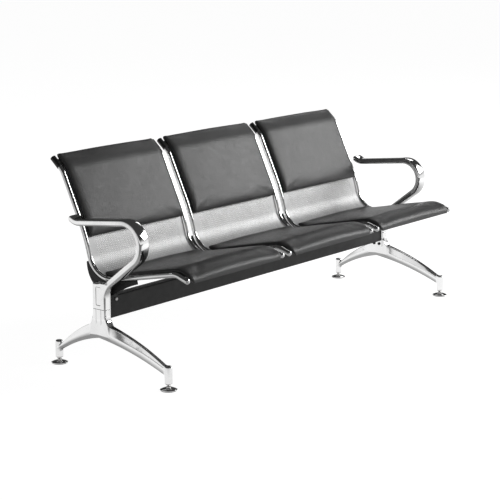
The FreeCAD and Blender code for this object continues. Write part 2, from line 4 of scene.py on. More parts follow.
import bmesh
import bpy
import numpy as np
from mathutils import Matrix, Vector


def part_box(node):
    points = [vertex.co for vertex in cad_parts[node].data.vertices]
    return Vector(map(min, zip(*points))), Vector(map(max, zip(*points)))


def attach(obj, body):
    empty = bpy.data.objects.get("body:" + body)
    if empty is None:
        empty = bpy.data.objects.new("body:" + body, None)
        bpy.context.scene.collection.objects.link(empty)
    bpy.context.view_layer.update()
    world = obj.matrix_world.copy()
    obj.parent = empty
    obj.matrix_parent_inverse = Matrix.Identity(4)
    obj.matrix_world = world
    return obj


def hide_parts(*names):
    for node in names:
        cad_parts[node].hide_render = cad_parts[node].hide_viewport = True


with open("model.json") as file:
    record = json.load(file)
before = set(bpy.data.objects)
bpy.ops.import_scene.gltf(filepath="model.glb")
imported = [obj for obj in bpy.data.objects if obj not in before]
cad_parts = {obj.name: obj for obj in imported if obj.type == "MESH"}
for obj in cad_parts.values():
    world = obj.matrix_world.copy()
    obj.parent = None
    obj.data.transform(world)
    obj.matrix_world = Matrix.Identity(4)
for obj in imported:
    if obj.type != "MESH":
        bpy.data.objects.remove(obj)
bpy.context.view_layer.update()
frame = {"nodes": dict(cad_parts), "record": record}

# A waiting-room bench: three padded seats of perforated sheet between chromed rails, on a black beam
# between two cast legs with loop armrests. Lengths are millimetres in the CAD model's frame, and
# newMesh turns them into metres.
scene = bpy.context.scene
metre = 0.001
frameNodes = frame["nodes"]
slotOf = {part["node"]: part["material_slot"] for part in frame["record"]["subparts"]}
print("bench: frame loaded,", len(frameNodes), "nodes")

# Camera at the photograph's place, looking along the bench from its front left
cameraFit = {"place": (-4.750286, -3.760930, 1.643779), "turn": 51.027, "fall": 12.395, "lens": 113.125,
             "sensor": 36.0, "farthest": 400.0}


def setCamera():
    lens = bpy.data.cameras.new("photo_camera")
    lens.sensor_width = cameraFit["sensor"]
    lens.lens = cameraFit["lens"]
    lens.clip_end = cameraFit["farthest"]
    camera = bpy.data.objects.new("photo_camera", lens)
    camera.location = cameraFit["place"]
    camera.rotation_euler = (math.radians(90 - cameraFit["fall"]), 0.0, -math.radians(cameraFit["turn"]))
    scene.collection.objects.link(camera)
    scene.camera = camera


setCamera()


def nodeBox(node):
    low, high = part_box(node)
    return np.array(low) / metre, np.array(high) / metre


# Meshes: a skin is its points, its quads and its triangles

noFaces = np.zeros((0, 3), int)


def gridQuads(rows, columns, ring=False):
    # Quads between the points of a grid numbered row by row; a ring's last column meets its first.
    row, column = np.meshgrid(np.arange(rows - 1), np.arange(columns if ring else columns - 1), indexing="ij")
    after = (column + 1) % columns
    corners = [row * columns + column, row * columns + after,
               (row + 1) * columns + after, (row + 1) * columns + column]
    return np.stack(corners, -1).reshape(-1, 4)


def tubeSkin(rings):
    # The surface through a row of rings, with a fan from each end ring to its middle.
    count, around = rings.shape[:2]
    points = np.concatenate([rings.reshape(-1, 3), rings[[0, -1]].mean(axis=1)])
    step = np.arange(around)
    after = (step + 1) % around
    last = (count - 1) * around
    firstFan = np.stack([after, step, np.full(around, count * around)], -1)
    lastFan = np.stack([step + last, after + last, np.full(around, count * around + 1)], -1)
    return points, gridQuads(count, around, True), np.concatenate([firstFan, lastFan])


def joinSkins(skins):
    starts = np.cumsum([0] + [len(skin[0]) for skin in skins[:-1]])
    points = np.concatenate([skin[0] for skin in skins])
    quads = np.concatenate([skin[1] + start for skin, start in zip(skins, starts)])
    triangles = np.concatenate([skin[2] + start for skin, start in zip(skins, starts)])
    return points, quads, triangles


def mirroredSkin(skin):
    points, quads, triangles = skin
    return points * (-1.0, 1.0, 1.0), quads[:, ::-1], triangles[:, ::-1]


def movedSkin(skin, x=0.0, y=0.0, z=0.0):
    return (skin[0] + (x, y, z),) + skin[1:]


def newMesh(name, skin, crease=35.0, outward=True):
    points, quads, triangles = skin
    mesh = bpy.data.meshes.new(name)
    corners = np.concatenate([quads.ravel(), triangles.ravel()])
    firsts = np.concatenate([np.arange(len(quads)) * 4, quads.size + np.arange(len(triangles)) * 3])
    mesh.vertices.add(len(points))
    mesh.vertices.foreach_set("co", (points * metre).ravel())
    mesh.loops.add(len(corners))
    mesh.loops.foreach_set("vertex_index", corners)
    mesh.polygons.add(len(firsts))
    mesh.polygons.foreach_set("loop_start", firsts)
    mesh.update(calc_edges=True)
    if outward:
        turnOutward(mesh)
    mesh.shade_smooth()
    mesh.set_sharp_from_angle(angle=math.radians(crease))
    return mesh


def turnOutward(mesh):
    work = bmesh.new()
    work.from_mesh(mesh)
    bmesh.ops.recalc_face_normals(work, faces=work.faces)
    work.to_mesh(mesh)
    work.free()


def addPiece(name, mesh, nodes, body="bench"):
    # A piece stands for its CAD nodes, takes their slot's finish and rides on their body.
    piece = bpy.data.objects.new(name, mesh)
    scene.collection.objects.link(piece)
    slot = slotOf[nodes[0]]
    mesh.materials.clear()
    mesh.materials.append(finishes[slot])
    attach(piece, body)
    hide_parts(*nodes)
    return piece


# Finishes, all from node textures on Object coordinates. A noise seldom leaves its usual span.
usualLow, usualHigh = 0.3, 0.7


def startFinish(name, **sockets):
    material = bpy.data.materials.new(name)
    material.use_nodes = True
    tree = material.node_tree
    shader = tree.nodes["Principled BSDF"]
    for socket, value in sockets.items():
        shader.inputs[socket.replace("_", " ")].default_value = value
    place = tree.nodes.new("ShaderNodeTexCoord").outputs["Object"]
    return material, tree, shader, place


def addNode(tree, kind, inputs=None, **settings):
    node = tree.nodes.new("ShaderNode" + kind)
    for setting, value in settings.items():
        setattr(node, setting, value)
    for socket, value in (inputs or {}).items():
        if isinstance(value, bpy.types.NodeSocket):
            tree.links.new(value, node.inputs[socket])
        else:
            node.inputs[socket].default_value = value
    return node


def noise(tree, place, scale, detail=3.0):
    return addNode(tree, "TexNoise", {"Vector": place, "Scale": scale, "Detail": detail}).outputs["Fac"]


def spread(tree, value, low, high, fromLow=usualLow, fromHigh=usualHigh):
    # A texture's value carried onto a range of its own.
    inputs = {"Value": value, "From Min": fromLow, "From Max": fromHigh, "To Min": low, "To Max": high}
    return addNode(tree, "MapRange", inputs).outputs["Result"]


def tint(tree, value, dark, light):
    ramp = addNode(tree, "ValToRGB", {"Fac": value})
    ramp.color_ramp.elements[0].position = usualLow
    ramp.color_ramp.elements[0].color = (*dark, 1.0)
    ramp.color_ramp.elements[1].position = usualHigh
    ramp.color_ramp.elements[1].color = (*light, 1.0)
    return ramp.outputs["Color"]


def blendHeights(tree, first, second, share):
    # The first height plus a share of the second.
    inputs = {0: second, 1: share, 2: first}
    return addNode(tree, "Math", inputs, operation="MULTIPLY_ADD").outputs[0]


def dress(tree, shader, color, roughness, height, strength, depth):
    tree.links.new(color, shader.inputs["Base Color"])
    tree.links.new(roughness, shader.inputs["Roughness"])
    bump = addNode(tree, "Bump", {"Height": height, "Strength": strength, "Distance": depth})
    tree.links.new(bump.outputs["Normal"], shader.inputs["Normal"])


def gray(value, warmth=0.0):
    return (value * (1 + warmth), value, value * (1 - warmth))


def padLeather():
    # Pebbled grain: cells about 2 mm wide with soft creases, and fine pores on them.
    material, tree, shader, place = startFinish("pad_leather", Specular_IOR_Level=0.25)
    sway = addNode(tree, "TexNoise", {"Vector": place, "Scale": 260.0}).outputs["Color"]
    bent = addNode(tree, "VectorMath", {0: sway, 1: (0.0012, 0.0012, 0.0012), 2: place},
                   operation="MULTIPLY_ADD").outputs["Vector"]
    cells = addNode(tree, "TexVoronoi", {"Vector": bent, "Scale": 480.0}, feature="DISTANCE_TO_EDGE")
    crease = spread(tree, cells.outputs["Distance"], 0.0, 1.0, 0.0, 0.22)
    height = blendHeights(tree, crease, noise(tree, place, 2400.0), 0.25)
    # Random tone, plus painted shade: the colour is a little darker in the grain's creases.
    creaseShadedTone = blendHeights(tree, noise(tree, place, 7.0), crease, 0.08)
    color = tint(tree, creaseShadedTone, gray(0.056), gray(0.068))
    roughness = spread(tree, noise(tree, place, 60.0), 0.34, 0.42)
    dress(tree, shader, color, roughness, height, 0.35, 0.00025)
    return material


def chromePlate():
    # Mirror plate with a faint haze and hairline polishing marks.
    material, tree, shader, place = startFinish("chrome_plate", Metallic=1.0)
    marks = addNode(tree, "Mapping", {"Vector": place, "Scale": (40.0, 900.0, 900.0)}).outputs["Vector"]
    color = tint(tree, noise(tree, place, 12.0), gray(0.62), gray(0.69))
    roughness = spread(tree, noise(tree, place, 35.0), 0.04, 0.09)
    dress(tree, shader, color, roughness, noise(tree, marks, 1.0), 0.03, 0.00005)
    return material


def polishedCasting():
    # Plated die casting: a mirror with the slow ripple of a hand-polished casting under it.
    material, tree, shader, place = startFinish("polished_casting", Metallic=1.0)
    ripple = blendHeights(tree, noise(tree, place, 38.0, 1.0), noise(tree, place, 700.0), 0.02)
    color = tint(tree, noise(tree, place, 9.0), gray(0.69), gray(0.77))
    roughness = spread(tree, noise(tree, place, 24.0), 0.06, 0.13)
    dress(tree, shader, color, roughness, ripple, 0.12, 0.0015)
    return material


def powderCoat():
    # Satin black powder coat with its fine orange peel.
    material, tree, shader, place = startFinish("black_powder_coat", Specular_IOR_Level=0.25)
    peel = blendHeights(tree, noise(tree, place, 900.0, 1.0), noise(tree, place, 260.0), 0.6)
    color = tint(tree, noise(tree, place, 14.0), gray(0.026), gray(0.034))
    roughness = spread(tree, noise(tree, place, 50.0), 0.42, 0.52)
    dress(tree, shader, color, roughness, peel, 0.12, 0.0002)
    return material


def silverCoat():
    # Silver powder coat: metal flakes a few tenths wide in a clear film.
    material, tree, shader, place = startFinish("silver_powder_coat", Metallic=0.3)
    flakes = addNode(tree, "TexVoronoi", {"Vector": place, "Scale": 2600.0}).outputs["Color"]
    shine = addNode(tree, "SeparateColor", {"Color": flakes}).outputs["Red"]
    mixed = blendHeights(tree, noise(tree, place, 20.0), shine, 0.12)
    color = tint(tree, mixed, gray(0.41), gray(0.49))
    roughness = spread(tree, shine, 0.42, 0.54, 0.0, 1.0)
    dress(tree, shader, color, roughness, noise(tree, place, 700.0), 0.05, 0.0001)
    return material


def mouldedPlastic():
    material, tree, shader, place = startFinish("black_plastic", Specular_IOR_Level=0.45)
    color = tint(tree, noise(tree, place, 30.0), gray(0.017), gray(0.024))
    roughness = spread(tree, noise(tree, place, 80.0), 0.36, 0.48)
    dress(tree, shader, color, roughness, noise(tree, place, 1600.0), 0.15, 0.0001)
    return material


def mattRubber():
    material, tree, shader, place = startFinish("black_rubber", Specular_IOR_Level=0.3)
    color = tint(tree, noise(tree, place, 90.0), gray(0.020), gray(0.032, 0.04))
    roughness = spread(tree, noise(tree, place, 120.0), 0.72, 0.86)
    dress(tree, shader, color, roughness, noise(tree, place, 900.0), 0.3, 0.0002)
    return material


def zincPlate():
    # Zinc plate with its faint spangle and a dull sheen.
    material, tree, shader, place = startFinish("zinc_plate", Metallic=1.0)
    spangle = addNode(tree, "TexVoronoi", {"Vector": place, "Scale": 500.0}).outputs["Color"]
    patch = addNode(tree, "SeparateColor", {"Color": spangle}).outputs["Red"]
    color = tint(tree, patch, gray(0.52, 0.01), gray(0.60, 0.01))
    roughness = spread(tree, patch, 0.26, 0.38, 0.0, 1.0)
    dress(tree, shader, color, roughness, noise(tree, place, 1200.0), 0.06, 0.0001)
    return material


def rawPlywood():
    # Veneer grain drawn out along the bench.
    material, tree, shader, place = startFinish("raw_plywood")
    drawn = addNode(tree, "Mapping", {"Vector": place, "Scale": (6.0, 90.0, 220.0)}).outputs["Vector"]
    grain = noise(tree, drawn, 1.0, 6.0)
    color = tint(tree, grain, (0.34, 0.22, 0.12), (0.52, 0.37, 0.22))
    roughness = spread(tree, grain, 0.60, 0.75)
    dress(tree, shader, color, roughness, grain, 0.3, 0.0003)
    return material


finishes = {
    "pad_cover": padLeather(),
    "chromed_tube": chromePlate(),
    "polished_casting": polishedCasting(),
    "painted_steel": powderCoat(),
    "silver_sheet": silverCoat(),
    "black_plastic": mouldedPlastic(),
    "black_rubber": mattRubber(),
    "plated_fasteners": zincPlate(),
    "plywood": rawPlywood(),
}
print("bench: finishes made,", len(finishes))

# Lines of straight runs and tangent bends in the plane x = 0, walked by their length


def run(length):
    return length, 0.0


def bend(radius, turn):
    return radius * abs(math.radians(turn)), math.radians(turn)


def bentLine(start, heading, moves):
    # Each move keeps its first length, start point and heading; a bend's chord is w * sinc(half its turn).
    line = {"firsts": [], "lengths": [], "turns": [], "headings": [], "starts": []}
    walked = 0.0
    y, z = start
    heading = math.radians(heading)
    for length, turn in moves:
        for key, value in zip(line, (walked, length, turn, heading, (y, z))):
            line[key].append(value)
        chord = length * np.sinc(turn / 2 / math.pi)
        y += chord * math.cos(heading + turn / 2)
        z += chord * math.sin(heading + turn / 2)
        heading += turn
        walked += length
    line = {key: np.array(values) for key, values in line.items()}
    line["total"] = walked
    return line


def pointOn(line, walked, aside=0.0):
    # The point at a walked length, moved aside to the left of the walk.
    move = np.clip(np.searchsorted(line["firsts"], walked, side="right") - 1, 0, len(line["firsts"]) - 1)
    onward = walked - line["firsts"][move]
    turn = line["turns"][move] * onward / line["lengths"][move]
    middle = line["headings"][move] + turn / 2
    chord = onward * np.sinc(turn / 2 / math.pi)
    heading = line["headings"][move] + turn
    y = line["starts"][move, 0] + chord * np.cos(middle) - aside * np.sin(heading)
    z = line["starts"][move, 1] + chord * np.sin(middle) + aside * np.cos(heading)
    return y, z


def nearestOn(line, y, z):
    # Distance to the line and the walked length of the nearest point: each move's own nearest, then the best.
    best = np.full(np.shape(y), np.inf)
    walked = np.zeros(np.shape(y))
    moves = zip(line["firsts"], line["lengths"], line["turns"], line["headings"], line["starts"])
    for first, length, turn, heading, start in moves:
        along = (y - start[0]) * math.cos(heading) + (z - start[1]) * math.sin(heading)
        aside = (z - start[1]) * math.cos(heading) - (y - start[0]) * math.sin(heading)
        if turn == 0.0:
            onward = np.clip(along, 0.0, length)
            away = np.hypot(along - onward, aside)
        else:
            radius = length / turn
            onward = np.clip(np.arctan2(along / radius, 1 - aside / radius) * radius, 0.0, length)
            away = np.hypot(along - radius * np.sin(onward / radius),
                            aside - radius * (1 - np.cos(onward / radius)))
        closer = away < best
        best = np.where(closer, away, best)
        walked = np.where(closer, first + onward, walked)
    return best, walked


# Side line of every seat, from the nose at the front to the curl at the top
beamLow, beamHigh = nodeBox("beam")
postMiddle = (beamLow[1] + beamHigh[1]) / 2
seatLine = {"setback": 24.0, "rise": 60.5, "noseFall": 18.2}
seatMoves = [run(41.0), bend(60.0, -30.0), run(288.0), bend(100.0, 85.8), run(30.0),
             bend(600.0, -9.8), run(181.0), bend(60.0, -23.2), run(47.0)]
seatEnd = sum(length for length, turn in seatMoves[:3])
looseLine = bentLine((0.0, 0.0), seatLine["noseFall"], seatMoves)
looseEnd = pointOn(looseLine, seatEnd)
lineStart = (postMiddle - seatLine["setback"] - looseEnd[0], beamHigh[2] + seatLine["rise"] - looseEnd[1])
sideLine = bentLine(lineStart, seatLine["noseFall"], seatMoves)
railTop = sideLine["total"]
seatMiddles = [float(sum(box[0] for box in nodeBox(f"seat_shell_{number}")) / 2) for number in (1, 2, 3)]

# Rails, their caps and their nose plugs: round sections carried along the side line
rail = {"radius": 9.5, "offset": 263.5, "around": 40, "step": 4.0, "edge": 0.5, "edgeSteps": 4}
cap = {"radius": 10.8, "first": railTop - 45.0, "over": 3.0, "edge": 1.8, "edgeSteps": 7, "mouth": 0.5}
plug = {"dome": 5.0, "seam": 0.35, "rings": 9, "tipAngle": 0.03}


def ringsAlong(stops, radii, x, around):
    # At each stop a circle of that stop's radius, square to the side line.
    angle = np.arange(around) / around * 2 * math.pi
    aside = radii[:, None] * np.sin(angle)
    y, z = pointOn(sideLine, stops[:, None], aside)
    return np.stack([x + radii[:, None] * np.cos(angle), y, z], -1)


def quarterRound(first, radius, edge, steps, direction):
    # Stops and radii of a rounded rim: a quarter circle of the edge's size.
    angle = np.linspace(0.0, math.pi / 2, steps)
    return first + direction * edge * (1 - np.sin(angle)), radius - edge * (1 - np.cos(angle))


def railSkin(x):
    # A tube from the nose to the top end, with a rounded rim in front.
    rimStops, rimRadii = quarterRound(0.0, rail["radius"], rail["edge"], rail["edgeSteps"], 1.0)
    count = int(railTop / rail["step"])
    stops = np.concatenate([rimStops[::-1], np.linspace(rail["step"], railTop, count)])
    radii = np.concatenate([rimRadii[::-1], np.full(count, rail["radius"])])
    return tubeSkin(ringsAlong(np.sort(stops), radii, x, rail["around"]))


def capSkin(x):
    # A sleeve over the rail's top end, rounded at its mouth and at its closed end.
    mouthStops, mouthRadii = quarterRound(cap["first"], cap["radius"], cap["mouth"], rail["edgeSteps"], 1.0)
    capEnd = railTop + cap["over"]
    endStops, endRadii = quarterRound(capEnd, cap["radius"], cap["edge"], cap["edgeSteps"], -1.0)
    stops = np.concatenate([mouthStops, endStops[::-1]])
    radii = np.concatenate([mouthRadii[::-1], endRadii])
    return tubeSkin(ringsAlong(np.sort(stops), radii, x, rail["around"]))


def plugSkin(x):
    # A button: part of a sphere over the tube's end, with a fine seam behind its rim.
    sphere = (rail["radius"] ** 2 + plug["dome"] ** 2) / (2 * plug["dome"])
    angle = np.linspace(plug["tipAngle"], math.asin(rail["radius"] / sphere), plug["rings"])
    stops = sphere - plug["dome"] - sphere * np.cos(angle) - plug["seam"]
    radii = sphere * np.sin(angle)
    stops = np.append(stops, [0.0, rail["edge"]])
    radii = np.append(radii, [rail["radius"] - plug["seam"], rail["radius"] - 2 * plug["seam"]])
    return tubeSkin(ringsAlong(stops, radii, x, rail["around"]))


plugSkins = []
for number, middle in enumerate(seatMiddles, 1):
    sides = {"left": middle - rail["offset"], "right": middle + rail["offset"]}
    for side, x in sides.items():
        tube = newMesh("bent_tube", railSkin(x))
        addPiece(f"bent_tube_{number}_{side}", tube, [f"seat_{number}_rail_{side}"])
        plugSkins.append(plugSkin(x))
    capPair = joinSkins([capSkin(x) for x in sides.values()])
    addPiece(f"tube_caps_{number}", newMesh("tube_caps", capPair), [f"rail_caps_{number}"])
addPiece("tube_nose_buttons", newMesh("tube_nose_buttons", joinSkins(plugSkins)), ["rail_nose_plugs"])
print("bench: rails, caps and nose plugs made")

# Perforated seat sheets
sheet = {"half": 254.0, "first": 30.0, "last": railTop - 8.0, "face": 0.75, "pitch": 8.5, "hole": 3.8,
         "sides": 8, "border": 28.0, "endBorder": 24.0, "endStep": 6.0, "notch": 1.6,
         "notchLead": 1.0, "splitAt": 400.0}


def sheetLattice():
    # Lines half a pitch apart across the sheet, and row lines along it, with a plain border all round.
    half = sheet["pitch"] / 2
    row = sheet["pitch"] * math.sqrt(3) / 2
    holes = int((2 * (sheet["half"] - sheet["border"]) - half) // sheet["pitch"])
    inner = (np.arange(2 * holes + 2) - holes - 0.5) * half
    across = np.concatenate([[-sheet["half"]], inner, [sheet["half"]]])
    rows = int((sheet["last"] - sheet["first"] - 2 * sheet["endBorder"]) // row)
    margin = (sheet["last"] - sheet["first"] - rows * row) / 2
    edge = np.arange(0.0, margin, sheet["endStep"])
    lines = sheet["first"] + margin + np.arange(rows + 1) * row
    along = np.concatenate([sheet["first"] + edge, lines, (sheet["last"] - edge)[::-1]])
    return across, along, holes, len(edge), rows


def sheetSkin(lower, x):
    # One length of a sheet: two faces on the lattice, holes of eight sides in staggered rows, their walls
    # and the rim. A hole's cell is two lattice squares wide, and six lattice points stand round it.
    across, along, holes, firstRow, rows = sheetLattice()
    split = firstRow + int((sheet["splitAt"] - along[firstRow]) // (along[firstRow + 1] - along[firstRow]))
    lines = np.arange(split + 1) if lower else np.arange(split, len(along))
    wide = len(across)
    s, plan = np.meshgrid(along[lines], across, indexing="ij")
    nearCap = (np.abs(plan) == sheet["half"]) & (s > cap["first"] - sheet["notchLead"])
    plan = plan - np.sign(plan) * sheet["notch"] * nearCap
    row, hole = np.meshgrid(np.arange(rows), np.arange(holes), indexing="ij")
    line = (row + firstRow - lines[0]).ravel()
    column = (1 + 2 * hole + row % 2).ravel()
    kept = (line >= 0) & (line < len(lines) - 1)
    line, column = line[kept], column[kept]
    angle = math.pi / 2 + np.arange(sheet["sides"]) / sheet["sides"] * 2 * math.pi
    holeX = across[column + 1][:, None] + sheet["hole"] / 2 * np.cos(angle)
    holeS = (along[lines[line]] + along[lines[line + 1]])[:, None] / 2 + sheet["hole"] / 2 * np.sin(angle)
    flatX = np.concatenate([plan.ravel(), holeX.ravel()])
    flatS = np.concatenate([s.ravel(), holeS.ravel()])
    frontY, frontZ = pointOn(sideLine, flatS, sheet["face"])
    rearY, rearZ = pointOn(sideLine, flatS, -sheet["face"])
    front = np.stack([flatX + x, frontY, frontZ], -1)
    rear = np.stack([flatX + x, rearY, rearZ], -1)
    points = np.concatenate([front, rear])
    plain = np.ones((len(lines) - 1, wide - 1), bool)
    plain[line, column] = False
    plain[line, column + 1] = False
    quads = gridQuads(len(lines), wide)[plain.ravel()]
    base = line * wide + column
    low = [base, base + 1, base + 2]
    top = [corner + wide for corner in low]
    ring = s.size + np.arange(len(line))[:, None] * sheet["sides"] + np.arange(sheet["sides"])
    ring = list(ring.T)
    hugging = [(top[1], top[0], ring[1], ring[0]), (top[0], low[0], ring[3], ring[2]),
               (low[0], low[1], ring[4], ring[3]), (low[1], low[2], ring[5], ring[4]),
               (low[2], top[2], ring[7], ring[6]), (top[2], top[1], ring[0], ring[7])]
    wedges = [(top[0], ring[2], ring[1]), (low[2], ring[6], ring[5])]
    quads = np.concatenate([quads] + [np.stack(corners, -1) for corners in hugging])
    wedges = np.concatenate([np.stack(corners, -1) for corners in wedges])
    under = len(flatX)
    walls = [np.stack([ring[k - 1], ring[k], ring[k] + under, ring[k - 1] + under], -1)
             for k in range(sheet["sides"])]
    rim = np.concatenate([np.arange(wide - 1), np.arange(len(lines) - 1) * wide + wide - 1,
                          (len(lines) - 1) * wide + np.arange(wide - 1, 0, -1),
                          np.arange(len(lines) - 1, 0, -1) * wide])
    after = np.roll(rim, -1)
    rimWall = np.stack([after, rim, rim + under, after + under], -1)
    quads = np.concatenate([quads, quads[:, ::-1] + under] + walls + [rimWall])
    return points, quads, np.concatenate([wedges, wedges[:, ::-1] + under])


for number, middle in enumerate(seatMiddles, 1):
    for part, lower in (("front", True), ("rear", False)):
        mesh = newMesh("perforated_sheet", sheetSkin(lower, middle), outward=False)
        addPiece(f"perforated_sheet_{number}_{part}", mesh, [f"seat_shell_{number}"])
print("bench: perforated sheets made,", len(mesh.polygons), "faces in the last length")

# Pads: flat forms along the side line, swelled as cloth under pressure and then bent onto it
padForm = {"half": 255.0, "sideRound": 20.8, "belly": 0.62, "drawIn": 2.0, "endTuck": 8.0, "endArch": 1.5,
           "clear": 0.5, "lipAhead": 30.0, "fuller": 2.0, "voxel": 6.0, "pinned": 1.6, "swellCap": 2.2,
           "settle": 2, "settleShare": 0.5}
padRings = {"ends": 9, "level": 40, "across": 60, "side": 12}
clothFeel = {"quality": 6, "mass": 0.35, "tension_stiffness": 25.0, "compression_stiffness": 25.0,
             "shear_stiffness": 10.0, "bending_stiffness": 1.5, "use_pressure": True,
             "uniform_pressure_force": 4.0, "vertex_group_mass": "underside"}
clothSteps = 20
padWave = {"wide": 61.0, "long": 47.0, "small": 0.6, "smallWide": 29.0, "smallLong": 35.0,
           "wideTurn": 1.9, "longTurn": 2.3, "smallTurn": 4.1}
pads = {
    "seat": {"first": -10.0, "last": seatEnd + 62.0, "edge": 17.5, "crown": 22.5, "ends": (-4.0, 7.0),
             "rounds": (36.0, 18.0), "lip": 9.0, "ease": 0.6, "tubeRoom": 10.0},
    "back": {"first": seatEnd + 215.0, "last": railTop + 4.0, "edge": 21.0, "crown": 27.0,
             "ends": (12.0, 16.0), "rounds": (18.0, 18.0), "lip": 0.0, "ease": 0.4, "tubeRoom": 11.2},
}


def underside(pad, s):
    # Height of a pad's underside over the sheet's middle: it eases down to a lip in front of the sheet.
    ahead = np.clip((padForm["lipAhead"] - s) / (padForm["lipAhead"] - pad["first"]), 0.0, 1.0)
    return sheet["face"] + padForm["clear"] - pad["lip"] * ahead ** 2


def padSkin(pad):
    # Rings along the pad: flat below, sides that belly out as a parabola of the height, and an arched
    # top. The ends swell in a quarter round, and the sides draw in between the corners by half a sine
    # wave. Both ends reach a little over the CAD form, since settling takes that much off them.
    first, last = pad["first"] - padForm["fuller"], pad["last"] + padForm["fuller"]
    length = last - first
    angle = np.linspace(0.0, math.pi / 2, padRings["ends"])
    near, far = (size * (1 - np.cos(angle)) for size in pad["rounds"])
    level = np.linspace(near[-1], length - far[-1], padRings["level"])[1:-1]
    walked = np.concatenate([near, level, (length - far)[::-1]])[:, None]
    swell = np.concatenate([np.sin(angle), np.ones(len(level)), np.sin(angle)[::-1]])[:, None]
    end = np.repeat(pad["ends"], [len(near) + len(level), len(far)])[:, None]
    s = first + walked
    half = padForm["half"] - padForm["drawIn"] * np.sin(math.pi * walked / length)
    half = half - padForm["endTuck"] * (1 - end / pad["edge"]) * (1 - swell)
    low = underside(pad, s)
    edge = sheet["face"] + end + (pad["edge"] - end) * swell
    arch = padForm["endArch"] + (pad["crown"] - pad["edge"] - padForm["endArch"]) * swell
    across = np.linspace(1.0, -1.0, padRings["across"])
    height = np.linspace(1.0, 0.0, padRings["side"])
    side = half - padForm["sideRound"] * (height - padForm["belly"]) ** 2
    down, up = slice(1, -1), slice(-2, 0, -1)
    x = [side[:, :1] * across, -side[:, down], -side[:, -1:] * across, side[:, up]]
    d = [edge + arch * (1 - across ** 2), low + (edge - low) * height[down], low + 0 * across,
         low + (edge - low) * height[up]]
    x, d = np.concatenate(x, 1), np.concatenate(d, 1)
    return tubeSkin(np.stack([x, s + 0 * x, d], -1))


def meshPoints(mesh):
    points = np.empty(len(mesh.vertices) * 3, np.float32)
    mesh.vertices.foreach_get("co", points)
    return points.reshape(-1, 3).astype(float)


def meshQuads(mesh):
    corners = np.empty(len(mesh.loops), np.int32)
    mesh.loops.foreach_get("vertex_index", corners)
    return corners.reshape(-1, 4)


def neighbourMean(points, quads):
    # The mean of each point's neighbours along the quads' sides.
    start = quads.ravel()
    end = np.roll(quads, -1, axis=1).ravel()
    count = np.maximum(np.bincount(start, minlength=len(points)), 1)
    sums = [np.bincount(start, points[end, axis], len(points)) for axis in range(3)]
    return np.stack(sums, -1) / count[:, None]


def swelledPad(name, pad):
    # The form is remeshed to even squares and inflated as cloth, its underside pinned to the sheet.
    # Its sides stay out of the rails and their caps.
    block = bpy.data.objects.new(name + "_block", newMesh(name + "_block", padSkin(pad)))
    scene.collection.objects.link(block)
    remesh = block.modifiers.new("even_squares", "REMESH")
    remesh.mode = "VOXEL"
    remesh.voxel_size = padForm["voxel"] * metre
    graph = bpy.context.evaluated_depsgraph_get()
    mesh = bpy.data.meshes.new_from_object(block.evaluated_get(graph))
    bpy.data.objects.remove(block)
    start = meshPoints(mesh) / metre
    quads = meshQuads(mesh)
    pinned = start[:, 2] < underside(pad, start[:, 1]) + padForm["pinned"]
    moved = clothPoints(name, mesh, pinned)
    reach = np.linalg.norm(moved - start, axis=1, keepdims=True) + 1e-9
    points = start + (moved - start) / reach * padForm["swellCap"] * np.tanh(reach / padForm["swellCap"])
    for _ in range(padForm["settle"]):
        points = points + padForm["settleShare"] * (neighbourMean(points, quads) - points)
        points[:, 2] = np.maximum(points[:, 2], underside(pad, points[:, 1]))
    room = rail["offset"] - np.sqrt(np.maximum(pad["tubeRoom"] ** 2 - points[:, 2] ** 2, 0.0))
    points[:, 0] = np.clip(points[:, 0], -room, room)
    return points, quads


def clothPoints(name, mesh, pinned):
    # The points after some steps as cloth, with pressure inside and the underside held.
    cover = bpy.data.objects.new(name + "_cover", mesh)
    scene.collection.objects.link(cover)
    cover.vertex_groups.new(name="underside").add(np.flatnonzero(pinned).tolist(), 1.0, "REPLACE")
    cloth = cover.modifiers.new("cloth", "CLOTH")
    for setting, value in clothFeel.items():
        setattr(cloth.settings, setting, value)
    cloth.settings.effector_weights.gravity = 0.0
    cloth.collision_settings.use_collision = False
    for step in range(1, clothSteps + 1):
        scene.frame_set(step)
    graph = bpy.context.evaluated_depsgraph_get()
    moved = meshPoints(cover.evaluated_get(graph).data) / metre
    scene.frame_set(1)
    bpy.data.objects.remove(cover)
    return moved


def bentPad(points, pad, number, middle):
    # Slow hollows and rises, different on each seat, then the pad is bent onto the side line.
    x, s, d = points.T
    depth = np.clip((d - underside(pad, s)) / pad["crown"], 0.0, 1.0)
    wave = np.sin(x / padWave["wide"] + padWave["wideTurn"] * number)
    wave *= np.sin(s / padWave["long"] + padWave["longTurn"] * number)
    slant = x / padWave["smallWide"] - s / padWave["smallLong"]
    wave += padWave["small"] * np.sin(slant + padWave["smallTurn"] * number)
    y, z = pointOn(sideLine, s, d + pad["ease"] * depth * wave)
    return np.stack([x + middle, y, z], -1)


for kind, pad in pads.items():
    flatPoints, padQuads = swelledPad(kind + "_pad", pad)
    for number, middle in enumerate(seatMiddles, 1):
        skin = (bentPad(flatPoints, pad, number, middle), padQuads, noFaces)
        mesh = newMesh(f"{kind}_cushion", skin, crease=180.0)
        cushion = addPiece(f"{kind}_cushion_{number}", mesh, [f"{kind}_pad_{number}"])
        finer = cushion.modifiers.new("finer", "SUBSURF")
        finer.levels = 1
        finer.render_levels = 1
    print(f"bench: {kind} pads made,", len(padQuads), "squares each")

# Cast legs and armrests: fields that are negative inside, skinned at their zero level


def roundMax(first, second, soft):
    # The larger of two fields; where they come within the soft width, the corner is rounded off.
    share = np.clip(0.5 + 0.5 * (first - second) / soft, 0.0, 1.0)
    return second + (first - second) * share + soft * share * (1 - share)


def roundMin(first, second, soft):
    # The smaller of two fields, with the inner corner filled in the same way.
    return -roundMax(-first, -second, soft)


